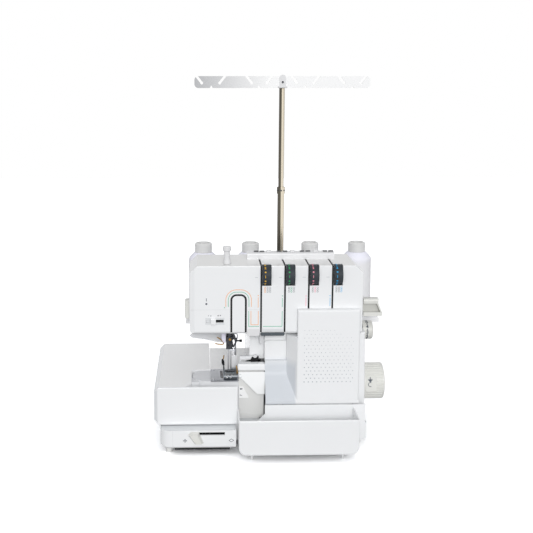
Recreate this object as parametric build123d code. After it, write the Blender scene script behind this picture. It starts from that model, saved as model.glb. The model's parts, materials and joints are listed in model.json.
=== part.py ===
"""Four-thread overlock sewing machine with air threading, modelled in millimetres.

+Z is up, +X runs towards the handwheel and +Y towards the spool tray.
The origin is on the table, under the middle of the machine's box.
"""
from build123d import *
import os
from math import cos, radians, sin

# Casing
WALL = 2.5
HEAD_X = (-143.5, 149.0)
HEAD_Y = (-78.0, 19.0)
HEAD_Z = (199.0, 317.0)
HEAD_CHAMFER = 13.0
HEAD_CORNER_RADIUS = 8.0
HEAD_CHIN_RADIUS = 6.0
COLUMN_LEFT = -40.0
COLUMN_RIGHT_TOP = 156.0
COLUMN_RIGHT_BOTTOM = 159.0
COLUMN_Y = (-58.0, 125.0)
PILLAR_LEFT = 144.6
PILLAR_FRONT = -70.0
THROAT_WALL_Y = (-41.0, -38.5)
THROAT_WALL_LOW = 144.0
BROW_Z = 165.0
COLUMN_REAR_TOP = 189.7
THROAT_RADIUS = 16.0
BASE_Z = (12.0, 44.0)
BASE_LEFT = -194.0
BASE_FRONT = -116.0
BASE_STEP_X = -66.0
BASE_STEP_Y = -87.0
BASE_CORNER_RADIUS = 18.0
BASE_EDGE = 3.0
FOOT_RADIUS = 5.5
FOOT_PLACES = [(-179.0, -98.0), (-179.0, 112.0), (146.0, -72.0), (146.0, 112.0)]
FACE_EDGE_RADIUS = 1.6
SCREW_HEAD_RADIUS = 3.2
SCREW_HEAD_HEIGHT = 1.6
VENT_X = (60.0, 110.0)
VENT_LOW = 96.0
VENT_PITCH = 8.0
VENT_HEIGHT = 3.0
VENT_COUNT = 8
MODE_SLOT_X = (-141.0, -85.0)
MODE_SLOT_Z = (35.5, 40.5)

# Bed and table
TABLE_TOP = 112.5
TABLE_X = (-204.5, -108.3)
TABLE_Y = (-95.0, 149.0)
TABLE_BOTTOM = 45.0
TABLE_CHAMFER = 9.0
TABLE_EDGE_RADIUS = 2.5
TABLE_FACET = 7.0
TABLE_GAP = 1.5
PANEL_RIGHT = -62.0
NOSE_LEFT = -139.5
ARM_FRONT = -62.0
ARM_BACK = 118.0
ARM_STEP_X = -106.5
ARM_STEP_Y = -8.0
ARM_TOP = 111.0
ARM_BOTTOM = 47.0
PLATE_X = (-108.0, -60.0)
PLATE_Y = (-66.0, -5.0)
PLATE_TOP = 112.8
NOSE_RADIUS = 24.0
FEED_ROWS_X = (-88.5, -64.5)
FEED_TEETH = 14
FEED_TOOTH_PITCH = 2.1

# Needle side
NEEDLE_X = -74.5
NEEDLE_Y = -32.0
NEEDLE_PITCH = 4.6
NEEDLE_RADIUS = 0.8
NEEDLE_BAR_RADIUS = 3.2
PRESSER_X = -66.0
PRESSER_Y = -19.0
PRESSER_RADIUS = 4.0
NEEDLE_BUSH_RADIUS = 6.0
PRESSER_BUSH_RADIUS = 7.0
RUNNING_GAP = 0.04
SPINDLE_RADIUS = 3.0
STUB_RADIUS = 4.0
FOOT_SOLE_X = (-85.0, -61.5)

# Thread path
SLOT_X = [-23.0, 17.0, 57.0, 97.0]
SLOT_WIDTH = 3.0
SLOT_DEPTH = 1.7
DIAL_RADIUS = 17.2
DIAL_WIDTH = 14.6
DIAL_Y = -69.8
DIAL_Z = 300.0
DIAL_OFFSET = 1.9
DIAL_RIBS = 48
TENSION_DISC_RADIUS = 3.7
RAIL_X = (-44.0, 107.0)
RAIL_Y = (-25.0, -11.0)
RAIL_TOP = 331.0
TAKEUP_LEGS = (-73.1, -48.7)
TAKEUP_TOP = 267.0
TAKEUP_LINE = 3.3
TAKEUP_RADIUS = 8.5

# Thread stand
POLE_X = 23.0
POLE_Y = 80.0
SPOOL_OFFSETS = [-142.0, -55.0, 55.0, 142.0]
TRAY_X = (-152.0, 198.0)
TRAY_Y = (19.2, 118.0)
TRAY_Z = (190.0, 199.0)
PACK_RADIUS = 28.0
PACK_FOOT = 203.0
PACK_SHOULDER = 297.0
NECK_BOTTOM = 309.6
NECK_TOP = 327.0
NECK_RADIUS = 16.0
CORE_RADIUS = 15.0
CORE_BORE = 5.5
POLE_COLLAR_Z = 430.0
POLE_LOWER_RADIUS = 6.2
POLE_UPPER_RADIUS = 5.0
POLE_UPPER_FOOT = 240.0
BAR_LENGTH = 314.0
BAR_Z = (608.5, 629.5)
BAR_Y = (70.5, 73.5)
BAR_NOTCHES = [-144, -112, -55, -28, 26, 56, 110, 140]
BAR_NICKS = [-127, -42, 12, 41, 125]
NOTCH_WIDTH = 4.2
NOTCH_LEAN = 38.0
NOTCH_FLOOR = 9.0
NOTCH_REACH = 30.0
NICK_SIZE = 5.0
CAP_RADIUS = 5.5
CAP_DEPTH = 4.0

# Front
COVER_FRONT = -90.0
COVER_BLOCK_X = (38.5, 144.0)
COVER_TOP = 243.5
COVER_BOTTOM = 81.0
COVER_BARREL_RADIUS = 3.5
SCOOP_LEFT = -15.0
SCOOP_FRONT = -68.0
SCOOP_BACK = -58.5
SCOOP_SHELF_Z = 149.0
SCOOP_TOP = 182.0
SCOOP_BEND_Z = 126.0
COVER_AXIS_Y = -86.5
COVER_AXIS_Z = 81.0
COVER_PIN_RADIUS = 1.5
COVER_LUG_RADIUS = 2.4
COVER_LUGS_X = (10.0, 62.0, 130.0)
COVER_WALL = 3.0
COVER_SWING_GAP = 4.0
BIN_X = (-63.0, 136.0)
BIN_Y = (-149.0, -95.8)
BIN_Z = (12.5, 73.0)
BIN_RADIUS = 13.0
BIN_WALL = 2.0
BIN_BACK_TOP = 44.0
BIN_EDGE_RADIUS = 1.8

# Drive
SHAFT_Y = 4.0
SHAFT_Z = 86.0
SHAFT_RADIUS = 6.0
WHEEL_X = (165.0, 204.5)
WHEEL_RIM_END = 202.3
WHEEL_RADIUS = 32.5
WHEEL_RIBS = 40
HUB_RADIUS = 11.0
RIB_RADIUS = 1.2
PULLEY_X = (127.0, 137.0)
PULLEY_RADIUS = 22.0
MOTOR_Y = 84.0
MOTOR_Z = 110.0
MOTOR_RADIUS = 29.0
MOTOR_PULLEY_RADIUS = 9.0
KNIFE_PIN_X = -30.0
LOOPER_PIVOT_X = -28.0
LOWER_LOOPER_Z = 62.0
UPPER_LOOPER_Z = 84.0
LOWER_LOOPER_Y = -27.5
UPPER_LOOPER_Y = -37.5
LOOPER_REACH = -84.0
LOWER_LOOPER_TIP = 93.0
UPPER_LOOPER_TIP = 94.0

# Controls
LEVER_PIVOT_Y = 0.0
LEVER_PIVOT_Z = 234.0
FEED_DIAL_Y = -28.0
FEED_DIAL_Z = 190.7
FEED_DIAL_RADIUS = 16.2
FEED_DIAL_X = (157.2, 175.5)
LIFTER_PIVOT_X = -70.0
LIFTER_PIVOT_Z = 176.0
KNOB_X = -80.0
KNOB_Y = -58.0
KNOB_RADIUS = 7.3
KNOB_TOP = 347.0
KNOB_CAP_HEIGHT = 8.0
INLET_Y = (56.0, 84.0)
INLET_Z = (60.0, 82.0)
SWITCH_Y = (92.0, 106.0)
SWITCH_Z = 71.0
SWITCH_PIVOT_X = 155.5
SWITCH_PIN_RADIUS = 1.5


def box(x, y, z):
    """A block between two limits on each axis."""
    size = (x[1] - x[0], y[1] - y[0], z[1] - z[0])
    middle = ((x[0] + x[1]) / 2, (y[0] + y[1]) / 2, (z[0] + z[1]) / 2)
    return Pos(*middle) * Box(*size)


def rod_x(radius, x, y, z):
    return Pos((x[0] + x[1]) / 2, y, z) * Rot(0, 90, 0) * Cylinder(radius, x[1] - x[0])


def rod_y(radius, x, y, z):
    return Pos(x, (y[0] + y[1]) / 2, z) * Rot(90, 0, 0) * Cylinder(radius, y[1] - y[0])


def rod_z(radius, x, y, z):
    return Pos(x, y, (z[0] + z[1]) / 2) * Cylinder(radius, z[1] - z[0])


def prism_xz(sketch, y):
    """A front-view sketch, x to the right and z up, carried from y[0] to y[1]."""
    plane = Plane(origin=(0, y[0], 0), x_dir=(1, 0, 0), z_dir=(0, -1, 0))
    return extrude(plane * sketch, amount=-(y[1] - y[0]))


def prism_yz(sketch, x):
    """A side-view sketch, y to the right and z up, carried from x[0] to x[1]."""
    plane = Plane(origin=(x[0], 0, 0), x_dir=(0, 1, 0), z_dir=(1, 0, 0))
    return extrude(plane * sketch, amount=x[1] - x[0])


def prism_xy(sketch, z):
    """A plan sketch carried from z[0] to z[1]."""
    return extrude(Pos(0, 0, z[0]) * sketch, amount=z[1] - z[0])


def outline(*points):
    return make_face(Polyline(*points, close=True))


def grown(limits, amount):
    return (limits[0] - amount, limits[1] + amount)


def column_right(z):
    """The right wall leans out towards the base."""
    share = (HEAD_Z[0] - z) / (HEAD_Z[0] - BASE_Z[1])
    return COLUMN_RIGHT_TOP + share * (COLUMN_RIGHT_BOTTOM - COLUMN_RIGHT_TOP)


def pick(edges, axis_index, value, tolerance=0.05):
    """The edges whose middle has the given coordinate."""
    return [e for e in edges if abs(tuple(e.center())[axis_index] - value) < tolerance]


def base_plan(inset):
    """Plan of the base, stepped back on the right to take the bin."""
    back = COLUMN_Y[1] + 3
    plan = outline((BASE_LEFT, BASE_FRONT), (BASE_STEP_X, BASE_FRONT), (BASE_STEP_X, BASE_STEP_Y),
                   (COLUMN_RIGHT_BOTTOM, BASE_STEP_Y), (COLUMN_RIGHT_BOTTOM, back), (BASE_LEFT, back))
    if inset:
        plan = offset(plan, -inset, kind=Kind.INTERSECTION)
    return fillet(plan.vertices().sort_by(Axis.X)[:2], BASE_CORNER_RADIUS - inset)


def base_pan():
    floor = BASE_Z[0] + WALL
    outer = prism_xy(base_plan(0), BASE_Z)
    outer = chamfer(outer.edges().group_by(Axis.Z)[0], BASE_EDGE)
    pan = outer - prism_xy(base_plan(WALL), (floor, BASE_Z[1] - WALL))
    pan -= box((COLUMN_LEFT + 1, COLUMN_RIGHT_BOTTOM - WALL), (COLUMN_Y[0] + 1, COLUMN_Y[1] - WALL),
               (floor, BASE_Z[1] + 1))
    return pan - box(MODE_SLOT_X, (BASE_FRONT - 1, BASE_FRONT + WALL + 1), MODE_SLOT_Z)


def rubber_feet():
    return [rod_z(FOOT_RADIUS, x, y, (0, BASE_Z[0])) for x, y in FOOT_PLACES]


def column_profile(inset):
    """Front view of the column, with the rounded corner where it meets the head."""
    bottom = BASE_Z[1]
    top = HEAD_Z[0] - 0.3 - inset
    left = COLUMN_LEFT + inset
    face = outline((left, bottom), (column_right(bottom) - inset, bottom),
                   (column_right(top) - inset, top), (left, top))
    if inset:
        return face
    radius = THROAT_RADIUS
    corner = Pos(left - radius / 2, top - radius / 2) * Rectangle(radius, radius)
    return face + (corner - Pos(left - radius, top - radius) * Circle(radius))


def column_housing():
    front = prism_xz(column_profile(0), (COLUMN_Y[0], HEAD_Y[1]))
    rear = prism_xz(column_profile(0.01), (HEAD_Y[1], COLUMN_Y[1]))
    rear -= box((-100, 200), (HEAD_Y[1] - 1, COLUMN_Y[1] + 1), (COLUMN_REAR_TOP, 210))
    shell = front + rear
    inner = prism_xz(column_profile(WALL), (COLUMN_Y[0] - 1, COLUMN_Y[1] - WALL))
    inner -= box((-100, 200), (HEAD_Y[1] - WALL, COLUMN_Y[1] + 1), (COLUMN_REAR_TOP - WALL, 210))
    shell -= inner
    shell -= box((-100, SCOOP_LEFT), (COLUMN_Y[0] - 1, THROAT_WALL_Y[0]), (THROAT_WALL_LOW, HEAD_Z[0]))
    shell += column_front()
    looper_window = box((COLUMN_LEFT - 1, COLUMN_LEFT + WALL + 1), (COLUMN_Y[0] - 1, -8), (49, 102))
    knife_window = box((COLUMN_LEFT - 1, COLUMN_LEFT + WALL + 1), (COLUMN_Y[0] - 1, -41.5), (102, 158))
    shell -= [looper_window, knife_window]
    right_wall = (140, 170)
    shell -= rod_x(SHAFT_RADIUS + 2, right_wall, SHAFT_Y, SHAFT_Z)
    shell -= rod_x(SPINDLE_RADIUS + RUNNING_GAP, right_wall, FEED_DIAL_Y, FEED_DIAL_Z)
    shell -= box(right_wall, grown(INLET_Y, 0.2), grown(INLET_Z, 0.2))
    shell -= box(right_wall, grown(SWITCH_Y, 0.6), (SWITCH_Z - 12, SWITCH_Z + 12))
    for i in range(VENT_COUNT):
        low = VENT_LOW + VENT_PITCH * i
        shell -= box(VENT_X, (COLUMN_Y[1] - WALL - 1, COLUMN_Y[1] + 1), (low, low + VENT_HEIGHT))
    return shell - rod_z(POLE_LOWER_RADIUS + 0.2, POLE_X, POLE_Y, (180, 200))


def column_front():
    """Front corner on the right, wall beside the throat and brow over the cover's scoop."""
    top = HEAD_Z[0] - 0.3
    corner = outline((PILLAR_LEFT, BASE_Z[1]), (column_right(BASE_Z[1]), BASE_Z[1]), (column_right(top), top),
                     (PILLAR_LEFT, top))
    brow = (COLUMN_Y[0] + 1, COLUMN_Y[0] + 1 + WALL)
    pillar = prism_xz(corner, (PILLAR_FRONT, brow[1]))
    pillar = fillet(pick(pillar.edges(), 1, PILLAR_FRONT), 3)
    height = (THROAT_WALL_LOW, top)
    right = SCOOP_LEFT + 3
    wall = box((COLUMN_LEFT, right), THROAT_WALL_Y, height)
    wall += box((right - WALL, right), (brow[0], THROAT_WALL_Y[1]), height)
    wall += box((right - WALL, PILLAR_LEFT + 1), brow, (BROW_Z, top))
    slot = (KNIFE_PIN_X - 2.3, KNIFE_PIN_X + 2.3)
    knife_slot = box(slot, grown(THROAT_WALL_Y, 1), (THROAT_WALL_LOW - 1, 151))
    return pillar + (wall - knife_slot)


def head_outline(inset):
    left = HEAD_X[0] + inset
    right = HEAD_X[1] - inset
    low = HEAD_Z[0] + inset
    high = HEAD_Z[1] - inset
    cut = HEAD_CHAMFER - inset * 0.59
    face = outline((left, low), (right, low), (right, high - cut), (right - cut, high),
                   (left + cut, high), (left, high - cut))
    lower_left = face.vertices().group_by(Axis.X)[0].sort_by(Axis.Y)[0]
    return fillet(lower_left, HEAD_CORNER_RADIUS - inset)


def take_up_groove():
    """An upside-down U round the thread take-up."""
    middle = sum(TAKEUP_LEGS) / 2
    half = (TAKEUP_LEGS[1] - TAKEUP_LEGS[0]) / 2
    line = TAKEUP_LINE / 2
    low = HEAD_Z[0] - 20

    def arch(grow):
        high = TAKEUP_TOP + grow
        frame = outline((middle - half - grow, low), (middle + half + grow, low),
                        (middle + half + grow, high), (middle - half - grow, high))
        return fillet(frame.vertices().sort_by(Axis.Y)[2:], TAKEUP_RADIUS + grow)

    return prism_xz(arch(line) - arch(-line), (HEAD_Y[0] - 1, HEAD_Y[0] + SLOT_DEPTH))


def thread_slots():
    """Grooves for the four threads: back along the top, then down the face."""
    ends = [HEAD_Z[0] - 1, HEAD_Z[0] - 1, COVER_TOP - 4, COVER_TOP - 4]
    cuts = []
    for x, low in zip(SLOT_X, ends):
        span = (x - SLOT_WIDTH / 2, x + SLOT_WIDTH / 2)
        cuts.append(box(span, (HEAD_Y[0] - 1, HEAD_Y[0] + SLOT_DEPTH), (low, HEAD_Z[1] + 1)))
        cuts.append(box(span, (HEAD_Y[0] - 1, RAIL_Y[0] + 4), (HEAD_Z[1] - SLOT_DEPTH, HEAD_Z[1] + 1)))
    return cuts


def head_housing():
    outer = prism_xz(head_outline(0), HEAD_Y)
    outer = fillet(pick(outer.edges(), 1, HEAD_Y[0]), FACE_EDGE_RADIUS)
    left, face = HEAD_X[0] - 1, HEAD_Y[0] - 1
    bevel = outline((left, face), (HEAD_X[0] + 11, face), (left, HEAD_Y[0] + 4))
    outer -= prism_xy(bevel, (HEAD_Z[0] - 1, HEAD_Z[1] + 1))
    chin_y, chin_z = HEAD_Y[0] + HEAD_CHIN_RADIUS, HEAD_Z[0] + HEAD_CHIN_RADIUS
    length = grown(HEAD_X, 1)
    edge = box(length, (face, chin_y), (HEAD_Z[0] - 1, chin_z))
    outer -= edge - rod_x(HEAD_CHIN_RADIUS, length, chin_y, chin_z)
    shell = outer - prism_xz(head_outline(WALL), (HEAD_Y[0] + WALL + 1.5, HEAD_Y[1] + 1))
    shell -= thread_slots() + [take_up_groove()]
    for x in SLOT_X:
        window = (x + SLOT_WIDTH / 2 + 0.1, x + DIAL_OFFSET + DIAL_WIDTH + 0.6)
        shell -= box(window, (face, DIAL_Y + 10), (DIAL_Z - DIAL_RADIUS - 0.2, HEAD_Z[1] + 1))
    shell -= box((-116, -86), (face, HEAD_Y[0] + 8), (219.5, 224.5))
    shell -= box((left, HEAD_X[0] + 4), (-41.2, -34.8), (206, 245))
    floor, roof = (190, 210), (300, 320)
    shell -= rod_z(NEEDLE_BUSH_RADIUS, NEEDLE_X, NEEDLE_Y, floor)
    shell -= rod_z(PRESSER_BUSH_RADIUS, PRESSER_X, PRESSER_Y, floor)
    shell -= rod_z(STUB_RADIUS + RUNNING_GAP, KNOB_X, KNOB_Y, roof)
    shell -= rod_x(STUB_RADIUS + RUNNING_GAP, (140, 160), LEVER_PIVOT_Y, LEVER_PIVOT_Z)
    lug = box((-76, -64), (14, 18), (168, HEAD_Z[0] + 1))
    return shell + lug + rod_y(SPINDLE_RADIUS, LIFTER_PIVOT_X, (2, 15), LIFTER_PIVOT_Z)


def head_back_cover():
    gap = 0.2
    return prism_xz(head_outline(WALL + gap), (HEAD_Y[1] - WALL, HEAD_Y[1]))


def free_arm_plan(inset):
    nose = outline((NOSE_LEFT + inset, ARM_FRONT + inset), (COLUMN_LEFT, ARM_FRONT + inset),
                   (COLUMN_LEFT, ARM_STEP_Y - inset), (NOSE_LEFT + inset, ARM_STEP_Y - inset))
    nose = fillet(nose.vertices().sort_by(Axis.X)[:2], NOSE_RADIUS - inset)
    rear = outline((ARM_STEP_X + inset, ARM_STEP_Y - 10), (COLUMN_LEFT, ARM_STEP_Y - 10),
                   (COLUMN_LEFT, ARM_BACK - inset), (ARM_STEP_X + inset, ARM_BACK - inset))
    return nose + rear


def free_arm():
    shell = prism_xy(free_arm_plan(0), (ARM_BOTTOM, ARM_TOP))
    shell -= prism_xy(free_arm_plan(WALL), (ARM_BOTTOM - 1, ARM_TOP - WALL))
    return shell - box((-100, -49), (-58, -12), (ARM_TOP - 5, ARM_TOP + 1))


def bed_cover():
    plate = box((PLATE_X[0] + 0.2, COLUMN_LEFT), (PLATE_Y[1] + 0.4, ARM_BACK), (ARM_TOP, TABLE_TOP))
    return fillet(plate.edges().filter_by(Axis.X).group_by(Axis.Z)[-1], 0.8)


def needle_plate():
    plate = box(PLATE_X, PLATE_Y, (ARM_TOP, PLATE_TOP))
    plate = fillet(plate.edges().filter_by(Axis.Z), 3)
    through = (ARM_TOP - 1, PLATE_TOP + 1)
    plate -= box((NEEDLE_X - 5.5, NEEDLE_X + 5.5), (NEEDLE_Y - 2.5, NEEDLE_Y + 2.5), through)
    for x in FEED_ROWS_X:
        plate -= box((x - 2.1, x + 2.1), (-52, -14), through)
    finger = box((NEEDLE_X + 3.7, NEEDLE_X + 4.3), (NEEDLE_Y - 3, NEEDLE_Y + 2), (ARM_TOP, PLATE_TOP))
    return plate + finger


def looper_bay_panel():
    wall = box((-59.6, SCOOP_LEFT - 1.5), (-64.6, -62.1), (46, 131.5))
    ledge = box((-61, SCOOP_LEFT - 1.5), (-70, -58.2), (131.5, 143.5))
    ledge = fillet(ledge.edges().filter_by(Axis.X).group_by(Axis.Y)[0], 2.5)
    return wall + ledge


def knife_cover():
    """Guard plate with its lower left corner cut off on a slant."""
    face = outline((-60.5, 129.6), (SCOOP_LEFT - 0.8, 129.6), (SCOOP_LEFT - 0.8, 89.7),
                   (-28.3, 89.7), (-52.5, 115.2), (-60.5, 122))
    plate = prism_xz(face, (-72, -69))
    plate = fillet(pick(plate.edges(), 1, -72), 0.8)
    posts = [rod_y(3, x, (-70, -64.6), 122) for x in (-46, -26)]
    return plate + posts


def lower_front_panel():
    """Panel behind the bin; eyes for the cover's hinge pin stand behind its upper edge."""
    low, high = BASE_Z[0] + 0.5, COVER_AXIS_Z - COVER_BARREL_RADIUS - 0.4
    left, right = SCOOP_LEFT - 1, COLUMN_RIGHT_BOTTOM - 3
    face = outline((left - 15, low), (right, low), (right, high), (left, high), (left, 61), (left - 15, 46))
    panel = prism_xz(face, (COVER_FRONT, BASE_STEP_Y))
    for x in COVER_LUGS_X:
        panel += hinge_eye((x - 4, x + 4))
    return panel


def hinge_eye(x):
    eye = rod_x(COVER_LUG_RADIUS, x, COVER_AXIS_Y, COVER_AXIS_Z)
    eye += box(x, (COVER_AXIS_Y, -81), (COVER_AXIS_Z - 1.4, COVER_AXIS_Z + 1.4))
    eye += box(x, (-83.5, -81), (60, COVER_AXIS_Z + 1.4)) + box(x, (BASE_STEP_Y - 1, -81), (60, 63))
    return eye - rod_x(COVER_PIN_RADIUS + RUNNING_GAP, grown(x, 1), COVER_AXIS_Y, COVER_AXIS_Z)


def spool_places():
    return [POLE_X + dx for dx in SPOOL_OFFSETS]


def spool_tray():
    plate = box(TRAY_X, TRAY_Y, TRAY_Z)
    corners = plate.edges().filter_by(Axis.Z).group_by(Axis.Y)[-1]
    plate = fillet(corners, 30)
    plate = fillet(plate.edges().group_by(Axis.Z)[-1], 1.5)
    for x in spool_places():
        plate -= rod_z(31.5, x, POLE_Y, (TRAY_Z[1] - 1.5, TRAY_Z[1] + 1))
    return plate - rod_z(POLE_LOWER_RADIUS, POLE_X, POLE_Y, (TRAY_Z[0] - 1, TRAY_Z[1] + 1))


def spool_pins():
    pins = []
    for x in spool_places():
        seat = TRAY_Z[1] - 1.5
        pin = rod_z(4, x, POLE_Y, (seat, 300)) + rod_z(20, x, POLE_Y, (seat, PACK_FOOT - 0.5))
        pins.append(fillet(pin.edges().group_by(Axis.Z)[-1], 2.5))
    return pins


def turned(points):
    """A turned form about Z from its half section, as radius and height."""
    half = make_face(Plane.XZ * Polyline(*points, close=True))
    return revolve(half, Axis.Z)


def cone_cores():
    """Moulded cone inside each thread package, with the wide neck that shows on top."""
    foot, neck = PACK_FOOT - 0.4, NECK_BOTTOM + 0.4
    section = [(CORE_BORE, foot), (CORE_RADIUS, foot), (CORE_RADIUS, neck), (NECK_RADIUS, neck),
               (NECK_RADIUS, NECK_TOP - 2), (NECK_RADIUS - 2, NECK_TOP), (NECK_RADIUS - 5, NECK_TOP),
               (NECK_RADIUS - 5, NECK_TOP - 6), (CORE_BORE, NECK_TOP - 10)]
    return [Pos(x, POLE_Y, 0) * turned(section) for x in spool_places()]


def thread_packs():
    section = [(CORE_RADIUS, PACK_FOOT), (PACK_RADIUS - 1.5, PACK_FOOT), (PACK_RADIUS, PACK_FOOT + 3),
               (PACK_RADIUS - 1, PACK_SHOULDER), (NECK_RADIUS + 0.6, NECK_BOTTOM), (CORE_RADIUS, NECK_BOTTOM)]
    return [Pos(x, POLE_Y, 0) * turned(section) for x in spool_places()]


def pole_lower_tube():
    tube = rod_z(POLE_LOWER_RADIUS, POLE_X, POLE_Y, (70, POLE_COLLAR_Z))
    collar = rod_z(POLE_LOWER_RADIUS + 1.3, POLE_X, POLE_Y, (POLE_COLLAR_Z - 12, POLE_COLLAR_Z))
    flange = rod_z(11, POLE_X, POLE_Y, (TRAY_Z[1], TRAY_Z[1] + 4))
    bore = rod_z(POLE_UPPER_RADIUS + RUNNING_GAP, POLE_X, POLE_Y, (60, POLE_COLLAR_Z + 1))
    return tube + collar + flange - bore


def pole_upper_tube():
    tube = rod_z(POLE_UPPER_RADIUS, POLE_X, POLE_Y, (POLE_UPPER_FOOT, BAR_Z[0] + 6))
    return tube - rod_z(POLE_UPPER_RADIUS - 1, POLE_X, POLE_Y, (POLE_UPPER_FOOT - 1, BAR_Z[0] - 4))


def guide_bar():
    middle = (BAR_Z[0] + BAR_Z[1]) / 2
    face = Pos(POLE_X, middle) * RectangleRounded(BAR_LENGTH, BAR_Z[1] - BAR_Z[0], 7)
    for i, x in enumerate(BAR_NOTCHES):
        lean = NOTCH_LEAN if i % 2 == 0 else -NOTCH_LEAN
        slit = Rot(0, 0, lean) * Pos(0, NOTCH_REACH / 2) * Rectangle(NOTCH_WIDTH, NOTCH_REACH)
        face -= Pos(POLE_X + x, BAR_Z[0] + NOTCH_FLOOR) * (slit + Circle(NOTCH_WIDTH * 0.62))
    for x in BAR_NICKS:
        face -= Pos(POLE_X + x, BAR_Z[0]) * RegularPolygon(NICK_SIZE, 3, rotation=90)
    plate = prism_xz(face, BAR_Y)
    return plate - rod_y(2.2, POLE_X, (BAR_Y[0] - 1, BAR_Y[1] + 1), middle)


def guide_bar_cap():
    """Bracket that holds the bar on the pole, with its screw."""
    middle = (BAR_Z[0] + BAR_Z[1]) / 2
    low = BAR_Z[0] + 1
    dome = BAR_Z[1] + 2.5 - CAP_RADIUS
    block = box((POLE_X - 8, POLE_X + 8), (BAR_Y[1], POLE_Y + 8), (low, BAR_Z[1] - 1))
    block = fillet(block.edges().filter_by(Axis.Z), 5)
    block -= rod_z(POLE_UPPER_RADIUS, POLE_X, POLE_Y, (BAR_Z[0] - 1, BAR_Z[0] + 6))
    front = (BAR_Y[0] - CAP_DEPTH, BAR_Y[0])
    block += box((POLE_X - CAP_RADIUS, POLE_X + CAP_RADIUS), front, (low, dome))
    block += rod_y(CAP_RADIUS, POLE_X, front, dome)
    block += box((POLE_X - 8, POLE_X + 8), front, (low, low + 3))
    return block + rod_y(2, POLE_X, (front[0] - 0.8, BAR_Y[1] + 1), middle)


def thread_rail():
    section = outline((RAIL_Y[0], HEAD_Z[1]), (RAIL_Y[1], HEAD_Z[1]), (RAIL_Y[1], RAIL_TOP),
                      (RAIL_Y[0], RAIL_TOP - 4))
    rail = prism_yz(fillet(section.vertices().sort_by(Axis.Y)[2:], 3), RAIL_X)
    for x in SLOT_X:
        rail -= box((x - 0.8, x + 0.8), (RAIL_Y[0] + 3, RAIL_Y[1] + 1), (RAIL_TOP - 7, RAIL_TOP + 1))
    return rail


def inner_frame():
    slab = box((-36, 135), (-40, 112), (BASE_Z[0] + WALL, 22))
    near = box((-19, -11), (-20, 40), (22, 150))
    far = box((112, 122), (-20, 116), (22, 150))
    bracket = box((-34, -11), (-20, -15), (22, 96))
    frame = slab + near + far + bracket
    for z in (LOWER_LOOPER_Z, UPPER_LOOPER_Z):
        frame += rod_y(SPINDLE_RADIUS, LOOPER_PIVOT_X, (-42, -15), z)
    frame -= rod_x(10, (-30, 130), SHAFT_Y, SHAFT_Z)
    return frame - rod_x(5, (111, 123), MOTOR_Y, MOTOR_Z)


def shaft_bushes():
    bushes = []
    for x in ((-19, -11), (112, 122)):
        sleeve = rod_x(10, x, SHAFT_Y, SHAFT_Z) + rod_x(13, (x[1], x[1] + 2), SHAFT_Y, SHAFT_Z)
        bushes.append(sleeve - rod_x(SHAFT_RADIUS + RUNNING_GAP, grown(x, 4), SHAFT_Y, SHAFT_Z))
    return bushes


def main_shaft():
    shaft = rod_x(SHAFT_RADIUS, (-30, WHEEL_RIM_END), SHAFT_Y, SHAFT_Z)
    cranks = [rod_x(13, (x, x + 8), SHAFT_Y + dy, SHAFT_Z) for x, dy in ((0, 4), (30, -4), (60, 4))]
    return shaft + cranks


def shaft_pulley():
    wheel = rod_x(PULLEY_RADIUS, PULLEY_X, SHAFT_Y, SHAFT_Z)
    return wheel - rod_x(SHAFT_RADIUS, grown(PULLEY_X, 1), SHAFT_Y, SHAFT_Z)


def handwheel():
    """Ribbed rim with a domed end face, on a hub."""
    low, end = WHEEL_X[0], WHEEL_RIM_END
    inside = end - 4
    rise = WHEEL_X[1] - end
    ball = (WHEEL_RADIUS ** 2 + rise ** 2) / (2 * rise)
    half = WHEEL_RADIUS / 2
    middle = (WHEEL_X[1] - ball + (ball ** 2 - half ** 2) ** 0.5, half)
    dome = ThreePointArc((end, WHEEL_RADIUS), middle, (WHEEL_X[1], 0))
    sides = Polyline((WHEEL_X[1], 0), (end, 0), (end, SHAFT_RADIUS), (low, SHAFT_RADIUS), (low, HUB_RADIUS),
                     (inside, HUB_RADIUS), (inside, WHEEL_RADIUS - 5), (low, WHEEL_RADIUS - 5),
                     (low, WHEEL_RADIUS), (end, WHEEL_RADIUS))
    section = make_face([dome, sides])
    corner = [v for v in section.vertices() if v.X > inside and v.Y > WHEEL_RADIUS - 1]
    wheel = revolve(Plane.XZ * fillet(corner, 2.5), Axis.X)
    for i in range(WHEEL_RIBS):
        turn = radians(360 / WHEEL_RIBS * i)
        y, z = WHEEL_RADIUS * cos(turn), WHEEL_RADIUS * sin(turn)
        wheel -= rod_x(RIB_RADIUS, (low + 3, end - 3.5), y, z)
    return Pos(0, SHAFT_Y, SHAFT_Z) * wheel


def motor():
    can = rod_x(MOTOR_RADIUS, (44, 112), MOTOR_Y, MOTOR_Z)
    can = fillet(can.edges().group_by(Axis.X)[0], 4)
    return can - rod_x(4 + RUNNING_GAP, (60, 113), MOTOR_Y, MOTOR_Z)


def motor_pulley():
    return rod_x(MOTOR_PULLEY_RADIUS, PULLEY_X, MOTOR_Y, MOTOR_Z) + rod_x(4, (62, 130), MOTOR_Y, MOTOR_Z)


def drive_belt():
    def loop(grow):
        big = Pos(SHAFT_Y, SHAFT_Z) * Circle(PULLEY_RADIUS + grow)
        small = Pos(MOTOR_Y, MOTOR_Z) * Circle(MOTOR_PULLEY_RADIUS + grow)
        return make_hull(big.edges() + small.edges())

    return prism_yz(loop(2.2) - loop(0.3), (PULLEY_X[0] + 1, PULLEY_X[1] - 1))


def circuit_board():
    board = box((-30, 100), (118.5, 120.1), (50, 76))
    chips = [box((x, x + 14), (114, 118.5), (56, 68)) for x in (-20, 10, 40, 70)]
    standoffs = [box((x, x + 5), (120.1, COLUMN_Y[1] - WALL), (60, 65)) for x in (-28, 93)]
    return board + chips + standoffs


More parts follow.
